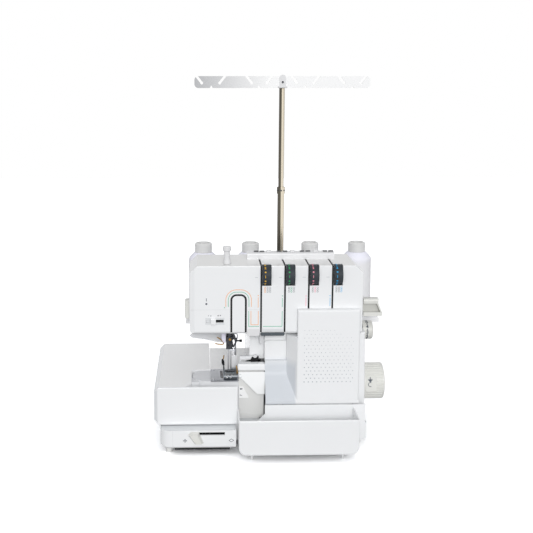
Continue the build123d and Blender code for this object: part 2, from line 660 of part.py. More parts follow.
def air_pump():
    body = box((-34, 8), (64, 110), (22, 66))
    dome = rod_z(18, -13, 87, (66, 100))
    nozzle = rod_y(4, -13, (50, 64), 50)
    return fillet(body.edges().filter_by(Axis.Z), 4) + dome + nozzle


def power_inlet():
    block = box((140, column_right(SWITCH_Z) + 1), INLET_Y, INLET_Z)
    block -= box((145, 170), grown(INLET_Y, -3), grown(INLET_Z, -3))
    pins = [box((144, 156), (y - 1, y + 1), (69, 73)) for y in (64, 70, 76)]
    return block + pins


def power_switch():
    """Rocker with its pivot pin."""
    right = column_right(SWITCH_Z) + 1
    low, high = SWITCH_Z - 9, SWITCH_Z + 9
    side = outline((right - 6, low), (right + 2, low), (right, SWITCH_Z), (right + 1, high),
                   (right - 6, high))
    return prism_xz(side, SWITCH_Y) + rod_y(SWITCH_PIN_RADIUS, SWITCH_PIVOT_X, grown(SWITCH_Y, 0.4), SWITCH_Z)


def led_lamp():
    lens = box((-112, -90), (-62, -48), (196.4, HEAD_Z[0]))
    return fillet(lens.edges().group_by(Axis.Z)[0], 1)


def lower_knife():
    blade = box((-59.8, -58.7), (-50, -36), (100, PLATE_TOP))
    return blade + box((-59.8, -52), (ARM_FRONT + WALL, -49.5), (100, 106))


def tension_frame():
    """Four axles and their discs, on one bar that hangs under the head's top."""
    frame = box((-40, 122), (-44, -40), (295, 306))
    frame += [box((x, x + 6), (-44, -40), (295, HEAD_Z[1] - WALL)) for x in (-40, 116)]
    for x in SLOT_X:
        frame += box((x - 7, x - 4), (DIAL_Y - TENSION_DISC_RADIUS, -40), (DIAL_Z - 4.5, DIAL_Z + 4.5))
        frame += rod_x(SPINDLE_RADIUS, (x - 7, x + DIAL_OFFSET + DIAL_WIDTH), DIAL_Y, DIAL_Z)
        frame += rod_x(TENSION_DISC_RADIUS, (x - 4, x - 0.5), DIAL_Y, DIAL_Z)
    return frame


def tension_dial(x):
    low = x + DIAL_OFFSET
    wheel = rod_x(DIAL_RADIUS, (low, low + DIAL_WIDTH), DIAL_Y, DIAL_Z)
    wheel = fillet(wheel.edges(), 0.8)
    for i in range(DIAL_RIBS):
        turn = radians(360 / DIAL_RIBS * i)
        y = DIAL_Y + DIAL_RADIUS * cos(turn)
        z = DIAL_Z + DIAL_RADIUS * sin(turn)
        wheel -= rod_x(0.45, (low - 1, low + 3.5), y, z)
    return wheel - rod_x(SPINDLE_RADIUS + RUNNING_GAP, (low - 1, low + DIAL_WIDTH + 1), DIAL_Y, DIAL_Z)


def head_bushes():
    def bush(x, y, inner, outer):
        return rod_z(outer, x, y, (HEAD_Z[0] - 3, 218)) - rod_z(inner + RUNNING_GAP, x, y, (190, 220))

    return [bush(NEEDLE_X, NEEDLE_Y, NEEDLE_BAR_RADIUS, NEEDLE_BUSH_RADIUS),
            bush(PRESSER_X, PRESSER_Y, PRESSER_RADIUS, PRESSER_BUSH_RADIUS)]


def needle_bar():
    return rod_z(NEEDLE_BAR_RADIUS, NEEDLE_X, NEEDLE_Y, (176, 285))


def needle_clamp():
    block = box((NEEDLE_X - 6, NEEDLE_X + 5), (NEEDLE_Y - 6, NEEDLE_Y + 5), (160, 182))
    block = fillet(block.edges().filter_by(Axis.Z), 1.5)
    screw = rod_y(1.6, NEEDLE_X - 2.3, (NEEDLE_Y - 11, NEEDLE_Y - 5), 166)
    block += screw + rod_y(1.6, NEEDLE_X + 2.3, (NEEDLE_Y - 11, NEEDLE_Y - 5), 171)
    block -= rod_z(NEEDLE_BAR_RADIUS, NEEDLE_X, NEEDLE_Y, (176, 190))
    for side in (-1, 1):
        block -= rod_z(NEEDLE_RADIUS, NEEDLE_X + side * NEEDLE_PITCH / 2, NEEDLE_Y, (155, 172))
    return block


def needles():
    pair = []
    for side in (-1, 1):
        x = NEEDLE_X + side * NEEDLE_PITCH / 2
        point = Pos(x, NEEDLE_Y, 119) * Cone(0.15, NEEDLE_RADIUS, 4)
        pair.append(rod_z(NEEDLE_RADIUS, x, NEEDLE_Y, (121, 172)) + point)
    return pair


def presser_bar():
    return rod_z(PRESSER_RADIUS, PRESSER_X, PRESSER_Y, (134, 285))


def presser_foot():
    sole = box(FOOT_SOLE_X, (-58, -18), (113.5, 116))
    sole -= box((NEEDLE_X - 5.5, NEEDLE_X + 5.5), (NEEDLE_Y - 3.5, NEEDLE_Y + 3), (113, 117))
    toe = prism_yz(outline((-66, 119.5), (-58, 113.5), (-57, 116), (-65, 121.5)), FOOT_SOLE_X)
    ankle = box((PRESSER_X - 4.4, PRESSER_X + 4.4), (PRESSER_Y - 5.4, PRESSER_Y + 5.4), (115, 144))
    ankle -= rod_z(PRESSER_RADIUS, PRESSER_X, PRESSER_Y, (134, 145))
    return sole + toe + ankle


def presser_lever():
    hub = rod_y(6, LIFTER_PIVOT_X, (3, 13.5), LIFTER_PIVOT_Z)
    arm = outline((-70, 165), (-70, 182), (-90, 180), (-140, 174.5), (-144, 171.5), (-141, 168.5),
                  (-118, 165), (-96, 160), (-82, 160))
    lever = hub + prism_xz(arm, (4, 12))
    return lever - rod_y(SPINDLE_RADIUS + RUNNING_GAP, LIFTER_PIVOT_X, (1, 15), LIFTER_PIVOT_Z)


def looper(y, z, tip_z):
    """Hooked arm on its pivot; the point lies under the needles."""
    reach = LOOPER_REACH
    hub = rod_y(6.5, LOOPER_PIVOT_X, (y - 2.5, y + 2.5), z)
    arm = outline((LOOPER_PIVOT_X, z - 5), (LOOPER_PIVOT_X, z + 5), (reach + 22, tip_z - 2), (reach, tip_z),
                  (reach + 2, tip_z - 2.5), (reach + 20, tip_z - 8))
    body = hub + prism_xz(arm, (y - 1.3, y + 1.3))
    return body - rod_y(SPINDLE_RADIUS + RUNNING_GAP, LOOPER_PIVOT_X, (y - 4, y + 4), z)


def upper_knife():
    arm = box((-57.5, -24), (-50, -43), (145, 151))
    blade = box((-57.5, -55.7), (-48, -41), (112.5, 151))
    return arm + blade + rod_y(2, KNIFE_PIN_X, (-44, -34), 148)


def feed_dog():
    base = box((-93, -60.5), (-49, -17), (97, 103))
    base -= box((NEEDLE_X - 7.5, NEEDLE_X + 7.5), (NEEDLE_Y - 6, NEEDLE_Y + 6), (96, 104))
    for x in FEED_ROWS_X:
        width = (x - 1.5, x + 1.5)
        base += box(width, (-48, -18), (102, 112.2))
        for i in range(FEED_TEETH):
            y = -47.5 + FEED_TOOTH_PITCH * i
            base += prism_yz(outline((y, 112), (y + 1.9, 112), (y + 1.5, 113.2)), width)
    return base


def pressure_knob():
    """Stepped knob: a flange, a waist and a flared cap on its stub."""
    low = HEAD_Z[1] + 0.4
    cap = rod_z(KNOB_RADIUS, KNOB_X, KNOB_Y, (KNOB_TOP - KNOB_CAP_HEIGHT, KNOB_TOP))
    knob = fillet(cap.edges(), 1.6)
    knob += rod_z(KNOB_RADIUS - 2.2, KNOB_X, KNOB_Y, (low, KNOB_TOP - 1))
    knob += rod_z(KNOB_RADIUS - 0.9, KNOB_X, KNOB_Y, (low, low + 7))
    return knob + rod_z(STUB_RADIUS, KNOB_X, KNOB_Y, (302, HEAD_Z[1] + 1))


def threader_slide():
    knob = box((-108, -99), (-82, HEAD_Y[0] - 0.3), (216.5, 227.5))
    knob = fillet(knob.edges().group_by(Axis.Y)[0], 1.2)
    return knob + box((-106, -101), (-79, -71), (220, 224))


def mode_lever():
    """Slanted grip on a stem that runs in the base's slot."""
    face = outline((-147, 36.5), (-141, 41.5), (-129, 41.5), (-120.5, 22), (-124, 19.5), (-135, 19.5))
    plane = Plane(origin=(0, BASE_FRONT - 0.4, 0), x_dir=(1, 0, 0), z_dir=(0, -1, 0))
    grip = extrude(plane * face, amount=6.5, taper=24)
    stem = box((-140, -134), (-117, -108), (36, 40))
    return grip + stem + box((-143, -131), (-112.8, -108), (33, 41))


def needle_threader_lever():
    grip = box((-152, HEAD_X[0] - 0.5), (-46, -30), (218, 250))
    grip = fillet(grip.edges().group_by(Axis.X)[0], 3)
    return grip + box((-144.5, -136), (-40.8, -35.2), (234, 242))


def threading_lever():
    """Paddle with a rolled top edge and a hollow face, on an arm beside the head."""
    side = outline((154, 223.5), (186, 223.5), (187, 229), (179.5, 247), (180, 254), (154, 254))
    paddle = prism_xz(side, (-58, -45)) + rod_x(4.2, (154, 179.6), -54.5, 249.8)
    paddle -= prism_xz(outline((153, 230), (183.5, 230), (177, 245.5), (153, 245.5)), (-59, -50))
    arm = box((150.5, 155), (-48, 8), (228, 240)) + rod_x(8, (150.5, 155), LEVER_PIVOT_Y, LEVER_PIVOT_Z)
    return paddle + arm + rod_x(STUB_RADIUS, (143.5, 152), LEVER_PIVOT_Y, LEVER_PIVOT_Z)


def feed_dial():
    wheel = rod_x(FEED_DIAL_RADIUS, FEED_DIAL_X, FEED_DIAL_Y, FEED_DIAL_Z)
    wheel = fillet(wheel.edges().group_by(Axis.X)[-1], 2.5)
    return wheel + rod_x(SPINDLE_RADIUS, (142, FEED_DIAL_X[0] + 1), FEED_DIAL_Y, FEED_DIAL_Z)


def front_cover():
    """Looper cover: a proud block on the right and a stepped scoop on the left.

    What lies under the head stays low enough to swing out past the head's underside.
    """
    under_head = HEAD_Z[0] - COVER_SWING_GAP
    plan = outline((COVER_BLOCK_X[0], COVER_FRONT), (COVER_BLOCK_X[1], COVER_FRONT),
                   (COVER_BLOCK_X[1], -61), (22, -61), (22, SCOOP_FRONT))
    block = prism_xy(plan, (COVER_BOTTOM, COVER_TOP))
    block = fillet(block.edges().group_by(Axis.Y)[0].sort_by(Axis.Z)[1:], 3.5)
    over_head = (under_head, COVER_TOP + 1)
    block -= box((0, 170), (HEAD_Y[0] - 0.7, -50), over_head)
    block -= box((0, COVER_BLOCK_X[0]), (COVER_FRONT - 1, -50), over_head)
    void = box(grown(COVER_BLOCK_X, -COVER_WALL), (COVER_FRONT + COVER_WALL, -50),
               (COVER_BOTTOM + 12, under_head - COVER_WALL))
    cover = block - void + cover_scoop()
    length = (SCOOP_LEFT, COVER_BLOCK_X[1])
    cover += rod_x(COVER_BARREL_RADIUS, length, COVER_AXIS_Y, COVER_AXIS_Z)
    for x in COVER_LUGS_X:
        cover -= cover_notch((x - 4.6, x + 4.6))
    return cover + rod_x(COVER_PIN_RADIUS, (4, 136), COVER_AXIS_Y, COVER_AXIS_Z)


def cover_scoop():
    """Recess beside the block: a back panel, a shelf and a wall that flares out to the front."""
    width = (SCOOP_LEFT, 24)
    upper = box(width, (SCOOP_BACK - 2.5, SCOOP_BACK), (SCOOP_SHELF_Z, SCOOP_TOP))
    upper = fillet(upper.edges().filter_by(Axis.Y).group_by(Axis.X)[0].sort_by(Axis.Z)[-1], 4)
    shelf = box(width, (SCOOP_FRONT, SCOOP_BACK), (SCOOP_SHELF_Z - 3, SCOOP_SHELF_Z))
    shelf = fillet(shelf.edges().filter_by(Axis.X).group_by(Axis.Y)[0].sort_by(Axis.Z)[-1], 2)
    back = SCOOP_FRONT + 2.5
    inside = COVER_FRONT + COVER_WALL
    flare = outline((SCOOP_FRONT, SCOOP_SHELF_Z - 1), (SCOOP_FRONT, SCOOP_BEND_Z),
                    (COVER_FRONT, COVER_BOTTOM + 3), (COVER_FRONT, COVER_BOTTOM), (inside, COVER_BOTTOM),
                    (inside, COVER_BOTTOM + 3.6), (back, SCOOP_BEND_Z - 0.5), (back, SCOOP_SHELF_Z - 1))
    bends = [v for v in flare.vertices() if abs(v.Y - SCOOP_BEND_Z) < 1]
    return upper + shelf + prism_yz(fillet(bends, 18), (SCOOP_LEFT, COVER_BLOCK_X[0]))


def cover_notch(x):
    """Room for a hinge eye and for the arm that holds it from behind."""
    eye = rod_x(COVER_LUG_RADIUS + 0.3, x, COVER_AXIS_Y, COVER_AXIS_Z)
    low, high = COVER_AXIS_Z - 5, COVER_AXIS_Z + COVER_LUG_RADIUS + 0.3
    behind = box(x, (COVER_AXIS_Y, -58), (low, high))
    return eye + behind + box(x, (COVER_AXIS_Y - COVER_LUG_RADIUS - 0.3, -58), (low, COVER_AXIS_Z))


def trim_bin():
    def front(inset):
        face = outline((BIN_X[0] + inset, BIN_Z[0] + inset), (BIN_X[1] - inset, BIN_Z[0] + inset),
                       (BIN_X[1] - inset, BIN_Z[1] + inset), (BIN_X[0] + inset, BIN_Z[1] + inset))
        return fillet(face.vertices().sort_by(Axis.Y)[:2], BIN_RADIUS - inset)

    shell = prism_xz(front(0), BIN_Y)
    shell = fillet(pick(shell.edges(), 1, BIN_Y[0]), BIN_EDGE_RADIUS)
    shell -= prism_xz(front(BIN_WALL), grown(BIN_Y, -BIN_WALL))
    back = (BIN_Y[1] - BIN_WALL - 1, BIN_Y[1] + 1)
    shell -= box(grown(BIN_X, -BIN_WALL), back, (BIN_BACK_TOP, BIN_Z[1] + 1))
    stubs = [rod_z(2, x, -134, (0.6, BIN_Z[0] + 1)) for x in (-40.7, 111)]
    return shell + stubs


def flat_bed():
    """Extension table: a hollow box with a notch round the nose of the free arm."""
    front = outline((TABLE_X[0], TABLE_BOTTOM + TABLE_CHAMFER), (TABLE_X[0] + TABLE_CHAMFER, TABLE_BOTTOM),
                    (PANEL_RIGHT, TABLE_BOTTOM), (PANEL_RIGHT, TABLE_TOP),
                    (TABLE_X[0] + TABLE_CHAMFER, TABLE_TOP), (TABLE_X[0], TABLE_TOP - TABLE_CHAMFER))
    block = prism_xz(front, TABLE_Y)
    front_edges = pick(block.edges(), 1, TABLE_Y[0])
    block = fillet([e for e in front_edges if e.center().X > TABLE_X[0] + TABLE_CHAMFER], TABLE_EDGE_RADIUS)
    facet = outline((TABLE_X[0] - 1, TABLE_Y[0] - 1), (TABLE_X[0] + TABLE_FACET, TABLE_Y[0] - 1),
                    (TABLE_X[0] - 1, TABLE_Y[0] + TABLE_FACET))
    block -= prism_xy(facet, (0, 200))
    block -= box((TABLE_X[1], 0), (ARM_STEP_Y - 2, TABLE_Y[1] + 1), (0, 200))
    notch_back = ARM_STEP_Y + TABLE_GAP
    notch_left = NOSE_LEFT - TABLE_GAP
    panel_back = TABLE_Y[0] + WALL
    notch = outline((notch_left, notch_back), (notch_left, -80), (NOSE_LEFT - 11, panel_back),
                    (0, panel_back), (0, notch_back))
    block -= prism_xy(notch, (0, 200))
    depth = (TABLE_BOTTOM - 1, TABLE_TOP - WALL)
    left = TABLE_X[0] + 12
    hollow = box((left, NOSE_LEFT - 14), (panel_back, TABLE_Y[1] - WALL), depth)
    hollow += box((left, TABLE_X[1] - WALL), (notch_back + WALL, TABLE_Y[1] - WALL), depth)
    return block - hollow


def case_screws():
    def rear(x, y, z):
        return rod_y(SCREW_HEAD_RADIUS, x, (y, y + SCREW_HEAD_HEIGHT), z)

    screws = [rear(x, HEAD_Y[1], z) for x in (-125, 135) for z in (215, 300)]
    screws += [rear(x, COLUMN_Y[1], z) for x in (-30, 145) for z in (56, 178)]
    return screws + [rod_z(2.8, -103.5, y, (PLATE_TOP, PLATE_TOP + 0.8)) for y in (-59, -11)]


def solids(shape):
    """One compound for a node, from a solid or a list of separate solids."""
    if isinstance(shape, list):
        return Compound(children=shape)
    return shape


NODES = {
    "base_pan": base_pan, "rubber_feet": rubber_feet, "column_housing": column_housing,
    "head_housing": head_housing, "head_back_cover": head_back_cover, "free_arm": free_arm,
    "bed_cover": bed_cover, "needle_plate": needle_plate, "looper_bay_panel": looper_bay_panel,
    "knife_cover": knife_cover, "lower_front_panel": lower_front_panel, "spool_tray": spool_tray,
    "spool_pins": spool_pins, "cone_cores": cone_cores, "thread_packs": thread_packs,
    "pole_lower_tube": pole_lower_tube, "pole_upper_tube": pole_upper_tube, "guide_bar": guide_bar,
    "guide_bar_cap": guide_bar_cap, "thread_rail": thread_rail, "inner_frame": inner_frame,
    "shaft_bushes": shaft_bushes, "main_shaft": main_shaft, "shaft_pulley": shaft_pulley,
    "handwheel": handwheel, "motor": motor, "motor_pulley": motor_pulley, "drive_belt": drive_belt,
    "circuit_board": circuit_board, "air_pump": air_pump, "power_inlet": power_inlet,
    "power_switch": power_switch, "led_lamp": led_lamp, "lower_knife": lower_knife,
    "tension_frame": tension_frame, "head_bushes": head_bushes, "needle_bar": needle_bar,
    "needle_clamp": needle_clamp, "needles": needles, "presser_bar": presser_bar,
    "presser_foot": presser_foot, "presser_lever": presser_lever, "upper_knife": upper_knife,
    "feed_dog": feed_dog, "pressure_knob": pressure_knob, "threader_slide": threader_slide,
    "mode_lever": mode_lever, "needle_threader_lever": needle_threader_lever,
    "threading_lever": threading_lever, "feed_dial": feed_dial, "front_cover": front_cover,
    "trim_bin": trim_bin, "flat_bed": flat_bed, "case_screws": case_screws,
}


def main():
    os.makedirs("parts", exist_ok=True)
    for name, make in NODES.items():
        export_step(solids(make()), f"parts/{name}.step")
    for number, x in enumerate(SLOT_X, 1):
        export_step(tension_dial(x), f"parts/tension_dial_{number}.step")
    export_step(looper(UPPER_LOOPER_Y, UPPER_LOOPER_Z, UPPER_LOOPER_TIP), "parts/upper_looper.step")
    export_step(looper(LOWER_LOOPER_Y, LOWER_LOOPER_Z, LOWER_LOOPER_TIP), "parts/lower_looper.step")


main()
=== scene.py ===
"""Looks of the air-threading overlock machine: finishes, printed guides, wound thread and small fittings.

Sizes are millimetres in the CAD frame; the mesh helpers turn them into metres.
"""
import json
import math

import bmesh
import bpy
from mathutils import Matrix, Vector


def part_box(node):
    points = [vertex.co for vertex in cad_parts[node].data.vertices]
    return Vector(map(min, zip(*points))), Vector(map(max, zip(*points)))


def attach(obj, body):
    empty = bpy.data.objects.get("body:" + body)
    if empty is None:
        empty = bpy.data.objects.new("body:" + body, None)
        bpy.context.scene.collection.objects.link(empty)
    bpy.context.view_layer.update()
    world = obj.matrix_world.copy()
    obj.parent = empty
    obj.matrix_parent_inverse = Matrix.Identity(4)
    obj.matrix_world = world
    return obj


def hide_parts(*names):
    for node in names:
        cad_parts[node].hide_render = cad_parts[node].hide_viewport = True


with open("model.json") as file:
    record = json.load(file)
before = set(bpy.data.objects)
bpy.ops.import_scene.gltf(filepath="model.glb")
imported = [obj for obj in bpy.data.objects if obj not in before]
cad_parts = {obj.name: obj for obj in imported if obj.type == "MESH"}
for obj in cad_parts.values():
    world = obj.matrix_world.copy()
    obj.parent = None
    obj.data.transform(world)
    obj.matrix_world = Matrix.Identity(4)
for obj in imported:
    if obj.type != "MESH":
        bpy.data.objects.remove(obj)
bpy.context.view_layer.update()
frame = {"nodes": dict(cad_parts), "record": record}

MM = 0.001


def span(node):
    """Limits of a CAD node on each axis, in millimetres."""
    low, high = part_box(node)
    return [(a / MM, b / MM) for a, b in zip(low, high)]


# Places taken from the frame
HEAD = span("head_housing")
FACE_Y = HEAD[1][0]
HEAD_TOP = HEAD[2][1]
COVER = span("front_cover")
BASE = span("base_pan")
RAIL = span("thread_rail")
WHEEL = span("handwheel")
FEED_DIAL = span("feed_dial")
KNIFE_COVER = span("knife_cover")
DIALS = [span(f"tension_dial_{i}") for i in (1, 2, 3, 4)]
PACKS = span("thread_packs")
POLE = span("pole_lower_tube")
CAP = span("guide_bar_cap")
PLATE = span("needle_plate")
CLAMP = span("needle_clamp")
FOOT = span("presser_foot")
KNIFE = span("upper_knife")
SCREWS = span("case_screws")

# Heights on the head, and the front of the looper bay's wall, which no node's limits give
HEAD_BOTTOM = 199.0
CHIN_TOP = 203.6
BAY_WALL = -64.6

# Thread path on the head
SLOT_X = [-23.0, 17.0, 57.0, 97.0]
SLOT_WIDTH = 3.0
SLOT_DEPTH = 1.7
CHANNEL_END = CHIN_TOP - 1.5
TAKEUP_LEGS = (-73.1, -48.7)
TAKEUP_TOP = 267.0
TAKEUP_RADIUS = 8.5
THREAD_COLOURS = ["orange", "green", "pink", "blue"]

# Prints and thin trim
INK_HEIGHT = 0.08
THIN_INK = 0.05
NUMERAL_RISE = 0.35
SINK = 0.05
LINE = 0.9
GATE_RISE = 0.5
SHARP_ANGLE = math.radians(35)

# Where the colours of a ramp begin and end, because noise seldom goes further
RAMP_START = 0.3
RAMP_END = 0.7

# Strength of the sky's light, and brightness of the floor as the camera sees it
SKY = 0.5
FLOOR_SEEN = 2.4

# Thread packages and pole
SPOOL_OFFSETS = [-142.0, -55.0, 55.0, 142.0]
POLE_X = 23.0
POLE_Y = 80.0


# Materials
def hex_colour(code):
    """Linear colour from an sRGB hex code."""
    parts = [int(code[i:i + 2], 16) / 255 for i in (1, 3, 5)]
    linear = [c / 12.92 if c <= 0.04045 else ((c + 0.055) / 1.055) ** 2.4 for c in parts]
    return (*linear, 1.0)


def shaded(colour, factor):
    """The colour made darker or lighter by a factor."""
    return (*[min(1.0, c * factor) for c in colour[:3]], 1.0)


def new_material(name):
    """A material with its node tree and its shader."""
    material = bpy.data.materials.new(name)
    material.use_nodes = True
    tree = material.node_tree
    return material, tree, tree.nodes["Principled BSDF"]


def set_inputs(node, values):
    """Plain values for some of a node's inputs."""
    for name, value in values.items():
        node.inputs[name].default_value = value


def add_node(tree, kind, values=None):
    """A new shader node of a kind, with plain values for some of its inputs."""
    node = tree.nodes.new(f"ShaderNode{kind}")
    set_inputs(node, values or {})
    return node


def speckle(tree, scale, stretch=(1, 1, 1), detail=3.0):
    """Noise over the object's own coordinates, as a factor from 0 to 1."""
    place = add_node(tree, "TexCoord")
    mapping = add_node(tree, "Mapping", {"Scale": stretch})
    noise = add_node(tree, "TexNoise", {"Scale": scale, "Detail": detail})
    tree.links.new(place.outputs["Object"], mapping.inputs["Vector"])
    tree.links.new(mapping.outputs["Vector"], noise.inputs["Vector"])
    return noise.outputs["Fac"]


def tint(tree, shader, factor, colours):
    """Base colour that runs through the given colours along the factor."""
    ramp = add_node(tree, "ValToRGB")
    stops = ramp.color_ramp.elements
    while len(stops) < len(colours):
        stops.new(0.5)
    for i, colour in enumerate(colours):
        stops[i].position = RAMP_START + (RAMP_END - RAMP_START) * i / (len(colours) - 1)
        stops[i].color = colour
    tree.links.new(factor, ramp.inputs["Fac"])
    tree.links.new(ramp.outputs["Color"], shader.inputs["Base Color"])


def mottle(tree, shader, factor, code, darker, lighter):
    """Base colour that wavers between a darker and a lighter shade of a colour code."""
    colour = hex_colour(code)
    tint(tree, shader, factor, [shaded(colour, darker), shaded(colour, lighter)])


def vary_roughness(tree, shader, factor, limits):
    """Roughness between two limits along the factor."""
    spread = add_node(tree, "MapRange", {"To Min": limits[0], "To Max": limits[1]})
    tree.links.new(factor, spread.inputs["Value"])
    tree.links.new(spread.outputs["Result"], shader.inputs["Roughness"])


def relief(tree, shader, factor, strength, depth):
    """Fine bumps whose height follows the factor, in millimetres."""
    bump = add_node(tree, "Bump", {"Strength": strength, "Distance": depth * MM})
    tree.links.new(factor, bump.inputs["Height"])
    tree.links.new(bump.outputs["Normal"], shader.inputs["Normal"])


def tool_texture(tree, shader, roughness, grain=0.04):
    """Uneven gloss and the fine grain that a mould leaves on plastic."""
    vary_roughness(tree, shader, speckle(tree, scale=60), roughness)
    relief(tree, shader, speckle(tree, scale=1400, detail=2.0), grain, depth=0.05)


def moulded(name, code, roughness=(0.28, 0.38), spread=0.006, grain=0.04, specular=0.5):
    """Injection-moulded plastic: faint mottling and a fine texture from the tool."""
    material, tree, shader = new_material(name)
    mottle(tree, shader, speckle(tree, scale=22), code, 1 - spread, 1 + spread)
    tool_texture(tree, shader, roughness, grain)
    set_inputs(shader, {"Specular IOR Level": specular})
    return material


def machined(name, code, roughness=(0.22, 0.36), stretch=(1, 1, 30), grain=0.25):
    """Metal with drawn or ground lines across the stretched axis."""
    material, tree, shader = new_material(name)
    set_inputs(shader, {"Metallic": 1.0})
    lines = speckle(tree, scale=70, stretch=stretch)
    mottle(tree, shader, lines, code, 0.88, 1.06)
    vary_roughness(tree, shader, lines, roughness)
    relief(tree, shader, speckle(tree, scale=220, stretch=stretch), grain, depth=0.02)
    return material


def ink(name, code):
    """Look of pad-printed ink, with a slightly broken surface."""
    material, tree, shader = new_material(name)
    mottle(tree, shader, speckle(tree, scale=500), code, 0.92, 1.06)
    vary_roughness(tree, shader, speckle(tree, scale=900), (0.45, 0.60))
    return material, None


def arithmetic(tree, operation, first, second=0.0):
    """A sum on sockets or plain numbers."""
    step = add_node(tree, "Math")
    step.operation = operation
    for socket, value in zip(step.inputs, (first, second)):
        if isinstance(value, (int, float)):
            socket.default_value = value
        else:
            tree.links.new(value, socket)
    return step.outputs["Value"]


def coordinate(tree, axis, kind="Object"):
    """One axis of the object's own coordinates, in metres, or of its normals."""
    place = add_node(tree, "TexCoord")
    parts = add_node(tree, "SeparateXYZ")
    tree.links.new(place.outputs[kind], parts.inputs["Vector"])
    return parts.outputs[axis]


def between(tree, value, low, high):
    """A factor that runs from 0 to 1 as the value goes from low to high."""
    share = add_node(tree, "MapRange", {"From Min": low, "From Max": high})
    tree.links.new(value, share.inputs["Value"])
    return share.outputs["Result"]


def along(tree, axis, low, high):
    """A factor that runs from 0 to 1 between two places on an axis, in millimetres."""
    return between(tree, coordinate(tree, axis), low * MM, high * MM)


def painted_shade_ramp(name, axis, limits, codes, roughness):
    """Moulding with painted shade that changes along an axis."""
    material, tree, shader = new_material(name)
    low, high = limits
    # With this margin the ramp begins and ends at the limits
    margin = (high - low) * RAMP_START / (RAMP_END - RAMP_START)
    tint(tree, shader, along(tree, axis, low - margin, high + margin), [hex_colour(c) for c in codes])
    tool_texture(tree, shader, roughness)
    return material


def looking(tree, axis, sense, low, high):
    """How far a face looks along an axis of its own object, from 0 to 1."""
    facing = arithmetic(tree, "MULTIPLY", coordinate(tree, axis, "Normal"), sense)
    return between(tree, facing, low, high)


def blended(tree, factor, first, second):
    """A mix of two colours, each given as a code or as a socket."""
    blend = add_node(tree, "Mix")
    blend.data_type = "RGBA"
    tree.links.new(factor, blend.inputs["Factor"])
    for key, shade in (("A", first), ("B", second)):
        if isinstance(shade, str):
            blend.inputs[key].default_value = hex_colour(shade)
        else:
            tree.links.new(shade, blend.inputs[key])
    return blend.outputs["Result"]


def faced_painted_light(name, code, edge, top, left, roughness):
    """Moulding with painted light and shade on upper edges, on faces that look up and on those that look
    left.
    """
    material, tree, shader = new_material(name)
    shade = blended(tree, looking(tree, "Z", 1, 0.2, 0.45), code, edge)
    shade = blended(tree, looking(tree, "Z", 1, 0.85, 0.98), shade, top)
    shade = blended(tree, looking(tree, "X", -1, 0.35, 0.8), shade, left)
    tree.links.new(shade, shader.inputs["Base Color"])
    tool_texture(tree, shader, roughness)
    return material


def scoop_painted_shade(name):
    """Cover plastic with painted shade low down in its scoop: cooler and darker there, and darker still on
    the faces that look up.
    """
    material, tree, shader = new_material(name)
    right_of_scoop = along(tree, "X", 34, 38)
    over_scoop = along(tree, "Z", 140, 156)
    # Outside the scoop the cover keeps its plain colour; inside it the colour is painted shade
    clear = arithmetic(tree, "MAXIMUM", right_of_scoop, over_scoop)
    shade = blended(tree, looking(tree, "Z", 1, 0.2, 0.7), "#D8DCE1", "#BFC4CA")
    tree.links.new(blended(tree, clear, shade, "#EFF0F1"), shader.inputs["Base Color"])
    tool_texture(tree, shader, (0.5, 0.6))
    return material


def painted_reflection_tube(name):
    """Nickel tube with painted reflections: light and dark streaks along it, in turn round its axis."""
    material, tree, shader = new_material(name)
    set_inputs(shader, {"Metallic": 1.0})
    brightest = math.radians(28)
    sharpness = 3.5
    across = arithmetic(tree, "SUBTRACT", coordinate(tree, "X"), POLE_X * MM)
    ahead = arithmetic(tree, "SUBTRACT", POLE_Y * MM, coordinate(tree, "Y"))
    turn = arithmetic(tree, "ARCTAN2", across, ahead)
    wave = arithmetic(tree, "COSINE", arithmetic(tree, "SUBTRACT", turn, brightest))
    painted_streaks = arithmetic(tree, "POWER", arithmetic(tree, "ABSOLUTE", wave), sharpness)
    tint(tree, shader, painted_streaks, [hex_colour(c) for c in ("#57534A", "#7A7568", "#8A8475", "#CFC5B2")])
    vary_roughness(tree, shader, speckle(tree, scale=70, stretch=(1, 1, 0.05)), (0.22, 0.34))
    return material


def translucent(name, code):
    """Frosted lens that lets some light through."""
    material, tree, shader = new_material(name)
    mottle(tree, shader, speckle(tree, scale=40), code, 0.97, 1.03)
    vary_roughness(tree, shader, speckle(tree, scale=90), (0.18, 0.30))
    set_inputs(shader, {"Transmission Weight": 0.45, "IOR": 1.49})
    return material


def wound_thread(name):
    """Polyester thread: fine strands laid nearly level, with a soft lilac shade towards the shoulder."""
    material, tree, shader = new_material(name)
    top = PACKS[2][1]
    height = along(tree, "Z", top - 34, top + 6)
    tint(tree, shader, height, [hex_colour("#EEEEF0"), hex_colour("#F2F2FD")])
    vary_roughness(tree, shader, speckle(tree, scale=300), (0.55, 0.75))
    strands = add_node(tree, "TexWave", {"Scale": 900, "Distortion": 1.5})
    strands.bands_direction = "Z"
    place = add_node(tree, "TexCoord")
    tree.links.new(place.outputs["Object"], strands.inputs["Vector"])
    relief(tree, shader, strands.outputs["Fac"], strength=0.5, depth=0.08)
    set_inputs(shader, {"Sheen Weight": 0.25})
    return material


